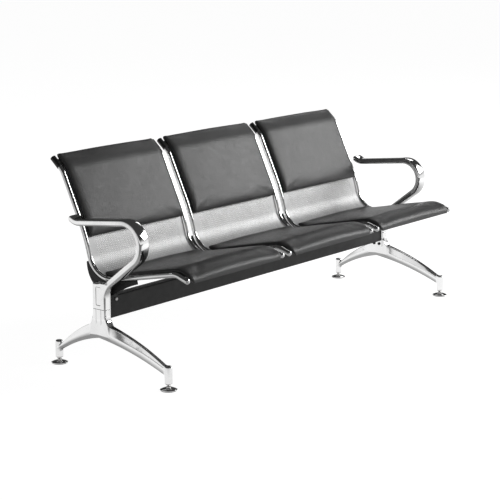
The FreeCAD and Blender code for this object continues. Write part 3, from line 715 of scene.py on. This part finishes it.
def roundedRectangle(a, b, halfA, halfB, corner):
    # Distance to the outline of a rectangle with rounded corners, about its middle.
    overA = np.abs(a) - halfA + corner
    overB = np.abs(b) - halfB + corner
    outside = np.hypot(np.maximum(overA, 0.0), np.maximum(overB, 0.0))
    return outside + np.minimum(np.maximum(overA, overB), 0.0) - corner


def latticeStops(low, high, step, fineLow, fineHigh, fineStep):
    # Stops one step apart, with finer steps in one stretch.
    return np.unique(np.concatenate([np.arange(low, fineLow, step), np.arange(fineLow, fineHigh, fineStep),
                                     np.arange(fineHigh, high + step, step)]))


fieldFit = {"rounds": 6, "slides": 2, "evenShare": 0.5, "leastSlope": 0.05, "longest": 1.5}


def fieldSlope(field, points, reach=0.02):
    here = field(points)
    slopes = [(field(points + step) - here) / reach for step in np.eye(3) * reach]
    return here, np.stack(slopes, -1)


def fieldSkin(field, stops):
    # A lattice cube with corners on both sides of the surface holds one point, and a lattice edge that
    # crosses it holds one quad between its four cubes. The points are then evened out among their
    # neighbours and slid along the field's slope onto the surface, in turn.
    lattice = np.stack(np.meshgrid(*stops, indexing="ij"), -1)
    inside = field(lattice.reshape(-1, 3)).reshape(lattice.shape[:3]) < 0
    cells = [len(axis) - 1 for axis in stops]
    corners = sum(inside[i:cells[0] + i, j:cells[1] + j, k:cells[2] + k].astype(int)
                  for i in (0, 1) for j in (0, 1) for k in (0, 1))
    mixed = (corners > 0) & (corners < 8)
    number = np.full(mixed.shape, -1)
    number[mixed] = np.arange(mixed.sum())
    middles = [(axis[1:] + axis[:-1]) / 2 for axis in stops]
    points = np.stack([axis[index] for axis, index in zip(middles, np.nonzero(mixed))], -1)
    quads = []
    for axis in range(3):
        near = np.moveaxis(inside, axis, 0)
        crossing = np.argwhere(near[:-1] != near[1:])
        leaving = near[:-1][tuple(crossing.T)]
        others = [other for other in range(3) if other != axis]
        cube = np.empty_like(crossing)
        cube[:, axis] = crossing[:, 0]
        cube[:, others[0]] = crossing[:, 1]
        cube[:, others[1]] = crossing[:, 2]
        turns = [(-1, -1), (0, -1), (0, 0), (-1, 0)]
        faces = []
        for first, second in turns:
            shift = np.zeros(3, int)
            shift[(axis + 1) % 3] = first
            shift[(axis + 2) % 3] = second
            faces.append(number[tuple((cube + shift).T)])
        faces = np.stack(faces, -1)
        quads.append(np.where(leaving[:, None], faces, faces[:, ::-1]))
    quads = np.concatenate(quads)
    for _ in range(fieldFit["rounds"]):
        points = points + fieldFit["evenShare"] * (neighbourMean(points, quads) - points)
        for _ in range(fieldFit["slides"]):
            here, slope = fieldSlope(field, points)
            step = slope * (here / np.maximum((slope ** 2).sum(1), fieldFit["leastSlope"]))[:, None]
            points = points - np.clip(step, -fieldFit["longest"], fieldFit["longest"])
    return points, quads, noFaces


def castMesh(name, field, skin, mirrored, x):
    # The skin gets its normals from the field's slope, so that the polish shows no facets.
    slope = fieldSlope(field, skin[0])[1]
    normals = slope / np.linalg.norm(slope, axis=1, keepdims=True)
    if mirrored:
        skin = mirroredSkin(skin)
        normals = normals * (-1.0, 1.0, 1.0)
    mesh = newMesh(name, movedSkin(skin, x), crease=180.0, outward=False)
    mesh.normals_split_custom_set_from_vertices(normals)
    return mesh


post = {"width": 30.0, "depth": 64.0, "corner": 8.0, "split": 240.0, "top": 335.0, "joint": 1.2,
        "shoulder": 7.0, "faceSoften": 1.0}
legX = float(nodeBox("leg_right")[0][0] + post["width"] / 2)
footFront = float(sum(box[1] for box in nodeBox("foot_disc_front_right")) / 2)
footRear = float(sum(box[1] for box in nodeBox("foot_disc_rear_right")) / 2)
leg = {"crown": postMiddle + 11.0, "archTop": 131.0, "archBow": 12.0, "rootLevel": 181.0, "rootHeight": 18.0,
       "topHalf": 7.0, "lowHalf": 5.5, "ridge": 17.0, "half": 15.0, "endHalf": 11.5, "limbBow": 12.0,
       "leastHeight": 5.0, "lowerShare": 0.8, "flankHalf": 13.5, "flankRun": 110.0, "soften": 3.0,
       "ridgeSoften": 7.0, "postBlend": 24.0, "socketBlend": 5.0, "roomSoften": 0.5, "grooveSpread": 12.0,
       "grooveWidth": 3.0, "grooveDepth": 1.5, "grooveLow": 178.0, "grooveFade": 24.0, "grooveCorner": 0.6,
       "grooveSoften": 0.8}
limbs = {
    "front": {"face": postMiddle - 32.0, "end": footFront, "flare": 22.0, "endTop": 80.0, "endLow": 46.0},
    "rear": {"face": postMiddle + 32.0, "end": footRear, "flare": 14.0, "endTop": 62.0, "endLow": 44.0},
}
socket = {"radius": 14.5, "low": 24.0, "high": 88.0, "topEdge": 8.0, "lowEdge": 1.5, "insert": 8.15,
          "insertTop": 54.0, "bore": 5.3, "boreTop": 74.0}


def bowed(first, last, share, bow):
    # A straight line from the first height to the last, plus a parabola.
    return first + (last - first) * share + 4 * bow * share * (1 - share)


def limbField(x, y, z, limb):
    # Across the limb: a flat top, sides that spread to a ridge and fall back to a narrow underside.
    # Along it: both outlines are bowed, and the top flares up and the flanks widen toward the post.
    toward = 1.0 if limb["end"] > limb["face"] else -1.0
    flareEnd = limb["face"] + toward * limb["flare"]
    under = (y - leg["crown"]) / (limb["end"] - leg["crown"])
    low = bowed(leg["archTop"], limb["endLow"], under, leg["archBow"])
    over = np.maximum(0.0, (y - flareEnd) / (limb["end"] - flareEnd))
    top = bowed(leg["rootLevel"], limb["endTop"], over, leg["limbBow"])
    top = top + leg["rootHeight"] * np.maximum(0.0, 1 - np.abs(y - limb["face"]) / limb["flare"]) ** 2
    half = leg["half"] + (leg["endHalf"] - leg["half"]) * over
    ridge = low + leg["ridge"]
    beside = np.maximum(0.0, 1 - np.maximum(0.0, toward * (y - limb["face"])) / leg["flankRun"])
    topHalf = leg["topHalf"] + (leg["flankHalf"] - leg["topHalf"]) * beside ** 2
    upper = np.abs(x) - half + (half - topHalf) * (z - ridge) / np.maximum(top - ridge, leg["leastHeight"])
    lower = np.abs(x) - half + (half - leg["lowHalf"]) * (ridge - z) / leg["ridge"]
    sides = roundMax(upper, lower * leg["lowerShare"], leg["ridgeSoften"])
    heights = np.maximum(z - top, low - z)
    return roundMax(np.maximum(sides, toward * (y - limb["end"])), heights, leg["soften"])


def socketField(x, y, z):
    # Upright cylinders about the feet's axes with eased ends, and the stepped bores in them.
    away = np.hypot(x, np.minimum(np.abs(y - footFront), np.abs(y - footRear)))
    tube = roundMax(away - socket["radius"], z - socket["high"], socket["topEdge"])
    tube = roundMax(tube, socket["low"] - z, socket["lowEdge"])
    room = np.maximum(away - socket["insert"], z - socket["insertTop"])
    return tube, np.minimum(room, np.maximum(away - socket["bore"], z - socket["boreTop"]))


def legField(points):
    # Both limbs blended with the post's lower half and the sockets, less the bores and two grooves.
    x, y, z = points.T
    arch = np.where(y < leg["crown"], limbField(x, y, z, limbs["front"]), limbField(x, y, z, limbs["rear"]))
    upright = roundedRectangle(x, y - postMiddle, post["width"] / 2, post["depth"] / 2, post["corner"])
    upright = roundMax(upright, z - post["split"], post["joint"])
    upright = np.maximum(upright, (leg["archTop"] + leg["rootLevel"]) / 2 - z)
    tube, room = socketField(x, y, z)
    casting = roundMin(roundMin(arch, upright, leg["postBlend"]), tube, leg["socketBlend"])
    casting = roundMax(casting, np.abs(x) - post["width"] / 2, post["faceSoften"])
    casting = roundMax(casting, -room, leg["roomSoften"])
    fade = np.clip((z - leg["grooveLow"]) / leg["grooveFade"], 0.0, 1.0)
    groove = roundedRectangle(x - post["width"] / 2, np.abs(y - postMiddle) - leg["grooveSpread"],
                              leg["grooveDepth"] * fade, leg["grooveWidth"] / 2, leg["grooveCorner"])
    return roundMax(casting, -np.maximum(groove, leg["grooveLow"] - z), leg["grooveSoften"])


arm = {"thick": 26.0, "corner": 6.0, "crown": 2.0, "wide": 48.0, "neckWide": 30.0, "neckRun": 60.0,
       "riseRun": 219.0, "rootDrop": 33.0, "riseAngle": 37.0, "blend": 22.0, "sideSoften": 0.5,
       "wellInside": -50.0, "panelWide": 24.0, "panelLow": 255.0, "panelHigh": 321.0, "panelDeep": 1.5,
       "panelCorner": 4.0, "panelSoften": 0.9}
castLattice = {"step": 1.8, "margin": 3, "fineHalf": 16.0, "fineStep": 0.8}
armLine = bentLine((postMiddle, post["top"] - arm["rootDrop"]), 180 - arm["riseAngle"],
                   [run(arm["riseRun"]), bend(75.0, -149.6), run(208.0), bend(60.0, 32.6), run(6.0)])


def armField(points):
    # A rounded rectangle with crowned faces about a bent line, blended into the upper half of the post.
    x, y, z = points.T
    away, walked = nearestOn(armLine, y, z)
    widening = np.clip((walked - arm["neckRun"]) / (arm["riseRun"] - arm["neckRun"]), 0.0, 1.0)
    wide = arm["neckWide"] + (arm["wide"] - arm["neckWide"]) * widening
    crowned = away + arm["crown"] * (2 * x / wide) ** 2
    loop = roundedRectangle(x, crowned, wide / 2, arm["thick"] / 2, arm["corner"])
    upright = roundedRectangle(x, y - postMiddle, post["width"] / 2, post["depth"] / 2, post["corner"])
    upright = roundMax(upright, z - post["top"], post["shoulder"])
    casting = roundMin(loop, upright, arm["blend"])
    casting = roundMax(casting, post["split"] - z, post["joint"])
    beside = np.where(z < post["top"], np.abs(x) - post["width"] / 2, arm["wellInside"])
    casting = roundMax(casting, beside, arm["sideSoften"])
    panelMiddle = (arm["panelLow"] + arm["panelHigh"]) / 2
    panelHalf = (arm["panelHigh"] - arm["panelLow"]) / 2
    panel = roundedRectangle(y - postMiddle, z - panelMiddle, arm["panelWide"] / 2, panelHalf,
                             arm["panelCorner"])
    recess = np.maximum(panel, post["width"] / 2 - arm["panelDeep"] - x)
    return roundMax(casting, -recess, arm["panelSoften"])


def castingStops(node):
    step = castLattice["step"]
    fineHalf = castLattice["fineHalf"]
    low, high = nodeBox(node)
    low, high = low - castLattice["margin"] * step, high + castLattice["margin"] * step
    x = np.arange(low[0] - legX, high[0] - legX + step, step)
    fineLow, fineHigh = postMiddle - fineHalf, postMiddle + fineHalf
    y = latticeStops(low[1], high[1], step, fineLow, fineHigh, castLattice["fineStep"])
    z = np.arange(low[2], high[2] + step, step)
    return x, y, z


for kind, field in (("leg", legField), ("armrest", armField)):
    skin = fieldSkin(field, castingStops(kind + "_right"))
    for side, mirrored, x in (("left", True, -legX), ("right", False, legX)):
        mesh = castMesh(f"cast_{kind}", field, skin, mirrored, x)
        addPiece(f"cast_{kind}_{side}", mesh, [f"{kind}_{side}"])
    print(f"bench: cast {kind}s made,", len(skin[1]), "quads each")

# Beam: a rounded rectangle carried along the bench
beam = {"corner": 4.0, "cornerSteps": 7, "rings": 25}


def roundedTube(low, high, corner, steps, rings):
    # A bar along X: corner arcs of a rounded rectangle in the y-z plane, repeated along its length.
    quarter = np.arange(4)[:, None]
    angle = (quarter + np.linspace(0.0, 1.0, steps)).ravel() * math.pi / 2
    signY = np.repeat([1.0, -1.0, -1.0, 1.0], steps)
    signZ = np.repeat([1.0, 1.0, -1.0, -1.0], steps)
    middle, half = (low + high) / 2, (high - low) / 2
    y = middle[1] + signY * (half[1] - corner) + corner * np.cos(angle)
    z = middle[2] + signZ * (half[2] - corner) + corner * np.sin(angle)
    x = np.linspace(low[0], high[0], rings)[:, None]
    return tubeSkin(np.stack([x + 0 * y, y + 0 * x, z + 0 * x], -1))


beamBar = roundedTube(beamLow, beamHigh, beam["corner"], beam["cornerSteps"], beam["rings"])
addPiece("beam_tube", newMesh("beam_tube", beamBar), ["beam"])

# Plates, brackets, nuts and inserts: merged copies of the CAD nodes with eased edges
easedEdges = {"beam_end_plate": 0.8, "bracket": 0.8, "bracket_nuts": 0.5, "foot_inserts": 0.4}
easing = {"merge": 0.002, "flat": 1.0, "crease": 35.0, "segments": 2, "corner": 40.0}


def easedCopy(name, node, width):
    mesh = frameNodes[node].data.copy()
    work = bmesh.new()
    work.from_mesh(mesh)
    bmesh.ops.remove_doubles(work, verts=work.verts, dist=easing["merge"] * metre)
    flat = math.radians(easing["flat"])
    bmesh.ops.dissolve_limit(work, angle_limit=flat, verts=work.verts, edges=work.edges)
    work.to_mesh(mesh)
    work.free()
    mesh.shade_smooth()
    mesh.set_sharp_from_angle(angle=math.radians(easing["crease"]))
    piece = addPiece(name, mesh, [node])
    edges = piece.modifiers.new("eased_edges", "BEVEL")
    edges.width = width * metre
    edges.segments = easing["segments"]
    edges.limit_method = "ANGLE"
    edges.angle_limit = math.radians(easing["corner"])
    edges.use_clamp_overlap = True


for side in ("left", "right"):
    easedCopy(f"end_plate_{side}", f"beam_end_plate_{side}", easedEdges["beam_end_plate"])
    for number in (1, 2, 3):
        easedCopy(f"rail_bracket_{number}_{side}", f"seat_{number}_bracket_{side}", easedEdges["bracket"])
easedCopy("saddle_nuts", "bracket_nuts", easedEdges["bracket_nuts"])
easedCopy("socket_inserts", "foot_inserts", easedEdges["foot_inserts"])
print("bench: beam, plates and brackets made")

# Bolts and screws: a button head with a hexagon socket, on its shank
bolt = {"around": 36, "head": 6.5, "rise": 5.0, "rim": 0.3, "domeFrom": 0.3, "domeRings": 8, "ledge": 1.0,
        "socket": 2.5, "socketDeep": 2.6, "deepShare": 0.6, "socketEdge": 0.25, "socketLip": 0.05,
        "shank": 4.0, "chamfer": 0.8}
bracketBolt = {"drop": 11.5, "aside": 10.0, "wall": 5.0, "through": 58.5}
plateBolt = {"spread": 13.0, "lip": 39.0, "drop": 25.0, "wall": 6.0, "through": 24.0}
padScrew = {"scale": 0.69, "socketScale": 0.7, "rise": 2.5, "shank": 2.0, "through": 7.2,
            "sideInset": 115.0, "endInset": 56.0, "boardInset": 46.0}


def headedSkin(head, rise, socket, shank, through):
    # Rings about the axis from the shank's tip to the head's dome, then down into the six-sided socket.
    angle = np.arange(bolt["around"]) / bolt["around"] * 2 * math.pi
    sixSided = socket / np.cos((angle + math.pi / 6) % (math.pi / 3) - math.pi / 6)
    dome = np.linspace(0.0, math.pi / 2, bolt["domeRings"])
    domeRadius = head - (head - socket - bolt["ledge"]) * (1 - np.cos(dome))
    domeHeight = rise * (bolt["domeFrom"] + (1 - bolt["domeFrom"]) * np.sin(dome))
    deep = min(bolt["socketDeep"], bolt["deepShare"] * rise)
    radii = [shank - bolt["chamfer"], shank, shank, head - bolt["rim"], head] + list(domeRadius)
    heights = [-through, -through + bolt["chamfer"], 0.0, 0.0, bolt["rim"]] + list(domeHeight)
    rings = [np.full(len(angle), radius) for radius in radii]
    rings += [sixSided + bolt["socketEdge"], sixSided, sixSided]
    heights += [rise - bolt["socketLip"], rise - bolt["rim"], rise - deep]
    radius = np.array(rings)
    return tubeSkin(np.stack([radius * np.cos(angle), radius * np.sin(angle),
                              np.array(heights)[:, None] + 0 * radius], -1))


def placedSkin(skin, origin, axis):
    # The skin with its own Z turned to the given axis.
    axis = np.array(axis, float) / np.linalg.norm(axis)
    helper = np.array([0.0, 0.0, 1.0]) if abs(axis[2]) < 0.7 else np.array([1.0, 0.0, 0.0])
    first = np.cross(helper, axis)
    first /= np.linalg.norm(first)
    turn = np.stack([first, np.cross(axis, first), axis])
    return (skin[0] @ turn + origin,) + skin[1:]


def addFasteners(name, node, skins):
    addPiece(name, newMesh(name, joinSkins(skins)), [node])


headSkin = headedSkin(bolt["head"], bolt["rise"], bolt["socket"], bolt["shank"], bracketBolt["through"])
addFasteners("saddle_bolts", "bracket_bolts", [
    placedSkin(headSkin, (middle + side * (rail["offset"] - bracketBolt["aside"]),
                          beamLow[1] - bracketBolt["wall"], beamHigh[2] - bracketBolt["drop"]), (0, -1, 0))
    for middle in seatMiddles for side in (-1, 1)])
plateSkin = headedSkin(bolt["head"], bolt["rise"], bolt["socket"], bolt["shank"], plateBolt["through"])
for name, node, z in (("leg_plate_bolts", "leg_bolts", beamLow[2] - plateBolt["drop"] / 2),
                      ("arm_plate_bolts", "armrest_bolts", beamHigh[2] + plateBolt["lip"] / 2)):
    addFasteners(name, node, [
        placedSkin(plateSkin, (side * beamHigh[0], postMiddle + row * plateBolt["spread"], z), (-side, 0, 0))
        for side in (-1, 1) for row in (-1, 1)])
screwSkin = headedSkin(bolt["head"] * padScrew["scale"], padScrew["rise"],
                       bolt["socket"] * padScrew["socketScale"], padScrew["shank"], padScrew["through"])
for kind, pad in pads.items():
    inset = padScrew["boardInset"] + padScrew["endInset"]
    skins = []
    for s in (pad["first"] + inset, pad["last"] - inset):
        start = np.array(pointOn(sideLine, s, -sheet["face"]))
        away = start - np.array(pointOn(sideLine, s, 0.0))
        for middle in seatMiddles:
            for side in (-1, 1):
                x = middle + side * (padForm["half"] - padScrew["sideInset"])
                skins.append(placedSkin(screwSkin, (x, start[0], start[1]), (0.0, away[0], away[1])))
    addFasteners(f"{kind}_cushion_screws", f"{kind}_pad_screws", skins)
print("bench: bolts and screws made")

# Levelling feet: turned forms about each foot's axis
foot = {"around": 64, "soleRadius": 29.0, "soleHigh": 2.5, "soleEdge": 0.6, "soleBevel": 0.4,
        "studRadius": 4.0, "studHigh": 4.0, "discRadius": 31.0, "discRim": 5.0, "discRise": 0.2,
        "discBevel": 0.5, "discHigh": 10.5, "neckRadius": 10.0, "neckBore": 1.0, "bulge": 1.4, "edge": 0.9}
stem = {"radius": 5.0, "low": 6.5, "lowTaper": 0.4, "flatsLow": 10.5, "flatsHigh": 14.5, "flats": 8.5,
        "cornerShare": 1.09, "flatsBevel": 0.3, "topBevel": 0.5, "topStep": 0.4, "high": 50.0, "pitch": 1.5,
        "perPitch": 6, "threadStart": 0.1, "depth": 0.55, "around": 36, "chamfer": 1.0, "tipTaper": 0.6}


def turnedSkin(radii, heights, around):
    # A profile of radii and heights carried round the upright axis.
    angle = np.arange(around) / around * 2 * math.pi
    radius = np.array(radii)[:, None]
    height = np.array(heights)[:, None] + 0 * angle
    return tubeSkin(np.stack([radius * np.cos(angle), radius * np.sin(angle), height], -1))


def soleSkin():
    # A disc with a rounded lower edge and a bevelled upper one, and a stud up into the foot.
    edge = np.linspace(0.0, math.pi / 2, 5)
    size = foot["soleEdge"]
    radii = list(foot["soleRadius"] - size + size * np.sin(edge)) + [foot["soleRadius"]]
    heights = list(size - size * np.cos(edge)) + [foot["soleHigh"] - foot["soleBevel"]]
    radii += [foot["soleRadius"] - foot["soleBevel"], foot["studRadius"], foot["studRadius"]]
    heights += [foot["soleHigh"], foot["soleHigh"], foot["studHigh"]]
    return turnedSkin(radii, heights, foot["around"])


def discSkin():
    # A rounded rim, then a dome that bulges over the straight line from the rim to the neck.
    rim = np.linspace(0.0, math.pi / 2, 6)
    dome = np.linspace(0.0, 1.0, 14)
    rimRadius = foot["discRadius"] - foot["edge"] * (1 - np.cos(rim))
    rimHeight = foot["discRim"] - foot["edge"] * (1 - np.sin(rim)) + foot["discRise"]
    domeRadius = rimRadius[-1] + (foot["neckRadius"] - rimRadius[-1]) * dome
    domeHeight = bowed(rimHeight[-1], foot["discHigh"], dome, foot["bulge"])
    bevel = foot["discBevel"]
    radii = [foot["studRadius"] + bevel, foot["discRadius"] - bevel, foot["discRadius"]]
    heights = [foot["soleHigh"], foot["soleHigh"], foot["soleHigh"] + bevel]
    radii += list(rimRadius) + list(domeRadius[1:]) + [foot["neckRadius"] - foot["neckBore"]]
    heights += list(rimHeight) + list(domeHeight[1:]) + [foot["discHigh"]]
    return turnedSkin(radii, heights, foot["around"])


def stemSkin():
    # A plain spigot, six flats with eased corners, then a thread: the radius falls and rises as a
    # triangle wave of height over pitch less the turned angle.
    angle = np.arange(stem["around"]) / stem["around"] * 2 * math.pi
    sixSided = stem["flats"] / np.cos((angle + math.pi / 6) % (math.pi / 3) - math.pi / 6)
    eased = np.minimum(sixSided, stem["flats"] * stem["cornerShare"])
    threadLow = stem["flatsHigh"] + stem["threadStart"]
    heights = np.arange(threadLow, stem["high"], stem["pitch"] / stem["perPitch"])[:, None]
    phase = (heights / stem["pitch"] - angle / (2 * math.pi)) % 1.0
    fade = np.clip((stem["high"] - heights) / stem["chamfer"], 0.0, 1.0)
    thread = stem["radius"] - stem["depth"] * np.abs(2 * phase - 1) - (1 - fade) * stem["tipTaper"]
    plain = np.ones(len(angle))
    radii = [plain * (stem["radius"] - stem["lowTaper"]), plain * stem["radius"], eased - stem["flatsBevel"],
             eased, eased, eased - stem["topBevel"]]
    levels = [stem["low"], stem["flatsLow"], stem["flatsLow"], stem["flatsLow"] + stem["flatsBevel"],
              stem["flatsHigh"] - stem["topStep"], stem["flatsHigh"]]
    radius = np.concatenate([np.array(radii), thread])
    height = np.concatenate([np.array(levels)[:, None], heights]) + 0 * radius
    return tubeSkin(np.stack([radius * np.cos(angle), radius * np.sin(angle), height], -1))


for place in ("front_left", "front_right", "rear_left", "rear_right"):
    low, high = nodeBox(f"foot_disc_{place}")
    x, y = (low[:2] + high[:2]) / 2
    screwBody = f"screw_foot_{place}"
    for kind, skin, body in (("sole", soleSkin(), f"sole_{place}"), ("disc", discSkin(), screwBody),
                             ("stem", stemSkin(), screwBody)):
        addPiece(f"level_{kind}_{place}", newMesh(f"level_{kind}", movedSkin(skin, x, y)),
                 [f"foot_{kind}_{place}"], body)
print("bench: levelling feet made")

# Boards stay CAD nodes, hidden in the pads
for number in (1, 2, 3):
    for board in (f"seat_board_{number}", f"back_board_{number}"):
        for holder in frameNodes[board].material_slots:
            holder.material = finishes["plywood"]

# Studio: a pale floor whose reflection brightens toward the horizon and has painted shade near the bench, a
# dark ceiling and two soft lights on the right
# The steep and near glows are painted shade in the floor as metal reflects it: grayer close below the bench,
# dark in front of it on its left.
studio = {"floorReach": 150.0, "floorGlow": 0.95, "floorShade": 0.30, "floorMottle": 0.02, "paintedSteepGlow": 0.30,
          "steepFacing": 0.35, "farGlow": 1.10, "farFacing": 0.78, "ceilingFrom": 0.08, "ceilingTo": 0.30,
          "ceiling": 0.05, "horizon": 1.10, "nearSide": (-0.777, -0.629, 0.0), "nearFrom": 1.0, "nearTo": 1.6,
          "paintedNearGlow": 0.12}
lampAim = (0.0, 0.0, 0.45)
lamps = {
    "front_softbox": {"place": (5.2, -3.5, 3.25), "wide": 4.2, "high": 2.4, "power": 350.0},
    "side_softbox": {"place": (3.9, 1.25, 3.3), "wide": 1.4, "high": 1.0, "power": 14.0},
}


def setFloor():
    # The camera sees the floor white. In metal it is white where it lies far off, and its glow there has
    # painted shade:
    # grayer close below, and a painted dark patch in front of the bench on its left.
    reach = studio["floorReach"]
    corners = [(-reach, -reach, 0), (reach, -reach, 0), (reach, reach, 0), (-reach, reach, 0)]
    mesh = bpy.data.meshes.new("studio_floor")
    mesh.from_pydata(corners, [], [(0, 1, 2, 3)])
    floor = bpy.data.objects.new("studio_floor", mesh)
    scene.collection.objects.link(floor)
    material, tree, shader, place = startFinish("pale_floor", Roughness=0.9, Specular_IOR_Level=0.0)
    ray = addNode(tree, "LightPath").outputs
    facing = addNode(tree, "LayerWeight", {"Blend": 0.5}).outputs["Facing"]
    bounced = {0: ray["Is Glossy Ray"], 1: ray["Is Transmission Ray"]}
    mirrored = addNode(tree, "Math", bounced, operation="ADD")
    # Painted shade in the reflected floor: steeper rays, which land close below the bench, see it grayer.
    reachOut = (studio["paintedSteepGlow"], studio["farGlow"], studio["steepFacing"], studio["farFacing"])
    far = spread(tree, facing, *reachOut)
    # Painted dark patch in the reflected floor, in front of the bench on its left toward the camera.
    nearness = addNode(tree, "VectorMath", {0: place, 1: studio["nearSide"]}, operation="DOT_PRODUCT")
    nearValue = nearness.outputs["Value"]
    paintedDimming = spread(tree, nearValue, 1.0, studio["paintedNearGlow"], studio["nearFrom"], studio["nearTo"])
    paintedReflectionGlow = addNode(tree, "Math", {0: far, 1: paintedDimming}, operation="MULTIPLY").outputs[0]
    reflected = addNode(tree, "Math", {0: mirrored.outputs[0], 1: paintedReflectionGlow}, operation="MULTIPLY")
    seen = {0: ray["Is Camera Ray"], 1: studio["floorGlow"], 2: reflected.outputs[0]}
    glow = addNode(tree, "Math", seen, operation="MULTIPLY_ADD").outputs[0]
    shade = studio["floorShade"]
    shader.inputs["Emission Color"].default_value = (1.0, 1.0, 1.0, 1.0)
    tree.links.new(glow, shader.inputs["Emission Strength"])
    mottle = tint(tree, noise(tree, place, 3.0), gray(shade), gray(shade + studio["floorMottle"]))
    tree.links.new(mottle, shader.inputs["Base Color"])
    mesh.materials.append(material)


def setWorld():
    world = bpy.data.worlds.new("studio_world")
    world.use_nodes = True
    tree = world.node_tree
    background = tree.nodes["Background"]
    direction = addNode(tree, "TexCoord").outputs["Generated"]
    height = addNode(tree, "SeparateXYZ", {"Vector": direction}).outputs["Z"]
    sky = (studio["horizon"], studio["ceiling"], studio["ceilingFrom"], studio["ceilingTo"])
    level = spread(tree, height, *sky)
    tree.links.new(level, background.inputs["Strength"])
    background.inputs["Color"].default_value = (1.0, 1.0, 1.0, 1.0)
    scene.world = world


def setLamp(name, lamp):
    light = bpy.data.lights.new(name, "AREA")
    light.shape = "RECTANGLE"
    light.size = lamp["wide"]
    light.size_y = lamp["high"]
    light.energy = lamp["power"]
    stand = bpy.data.objects.new(name, light)
    aim = np.array(lampAim) - np.array(lamp["place"])
    stand.location = lamp["place"]
    stand.rotation_euler = (math.acos(-aim[2] / np.linalg.norm(aim)), 0.0, math.atan2(-aim[0], aim[1]))
    scene.collection.objects.link(stand)


setFloor()
setWorld()
for name, lamp in lamps.items():
    setLamp(name, lamp)
scene.view_settings.view_transform = "Standard"
print("bench: studio set")
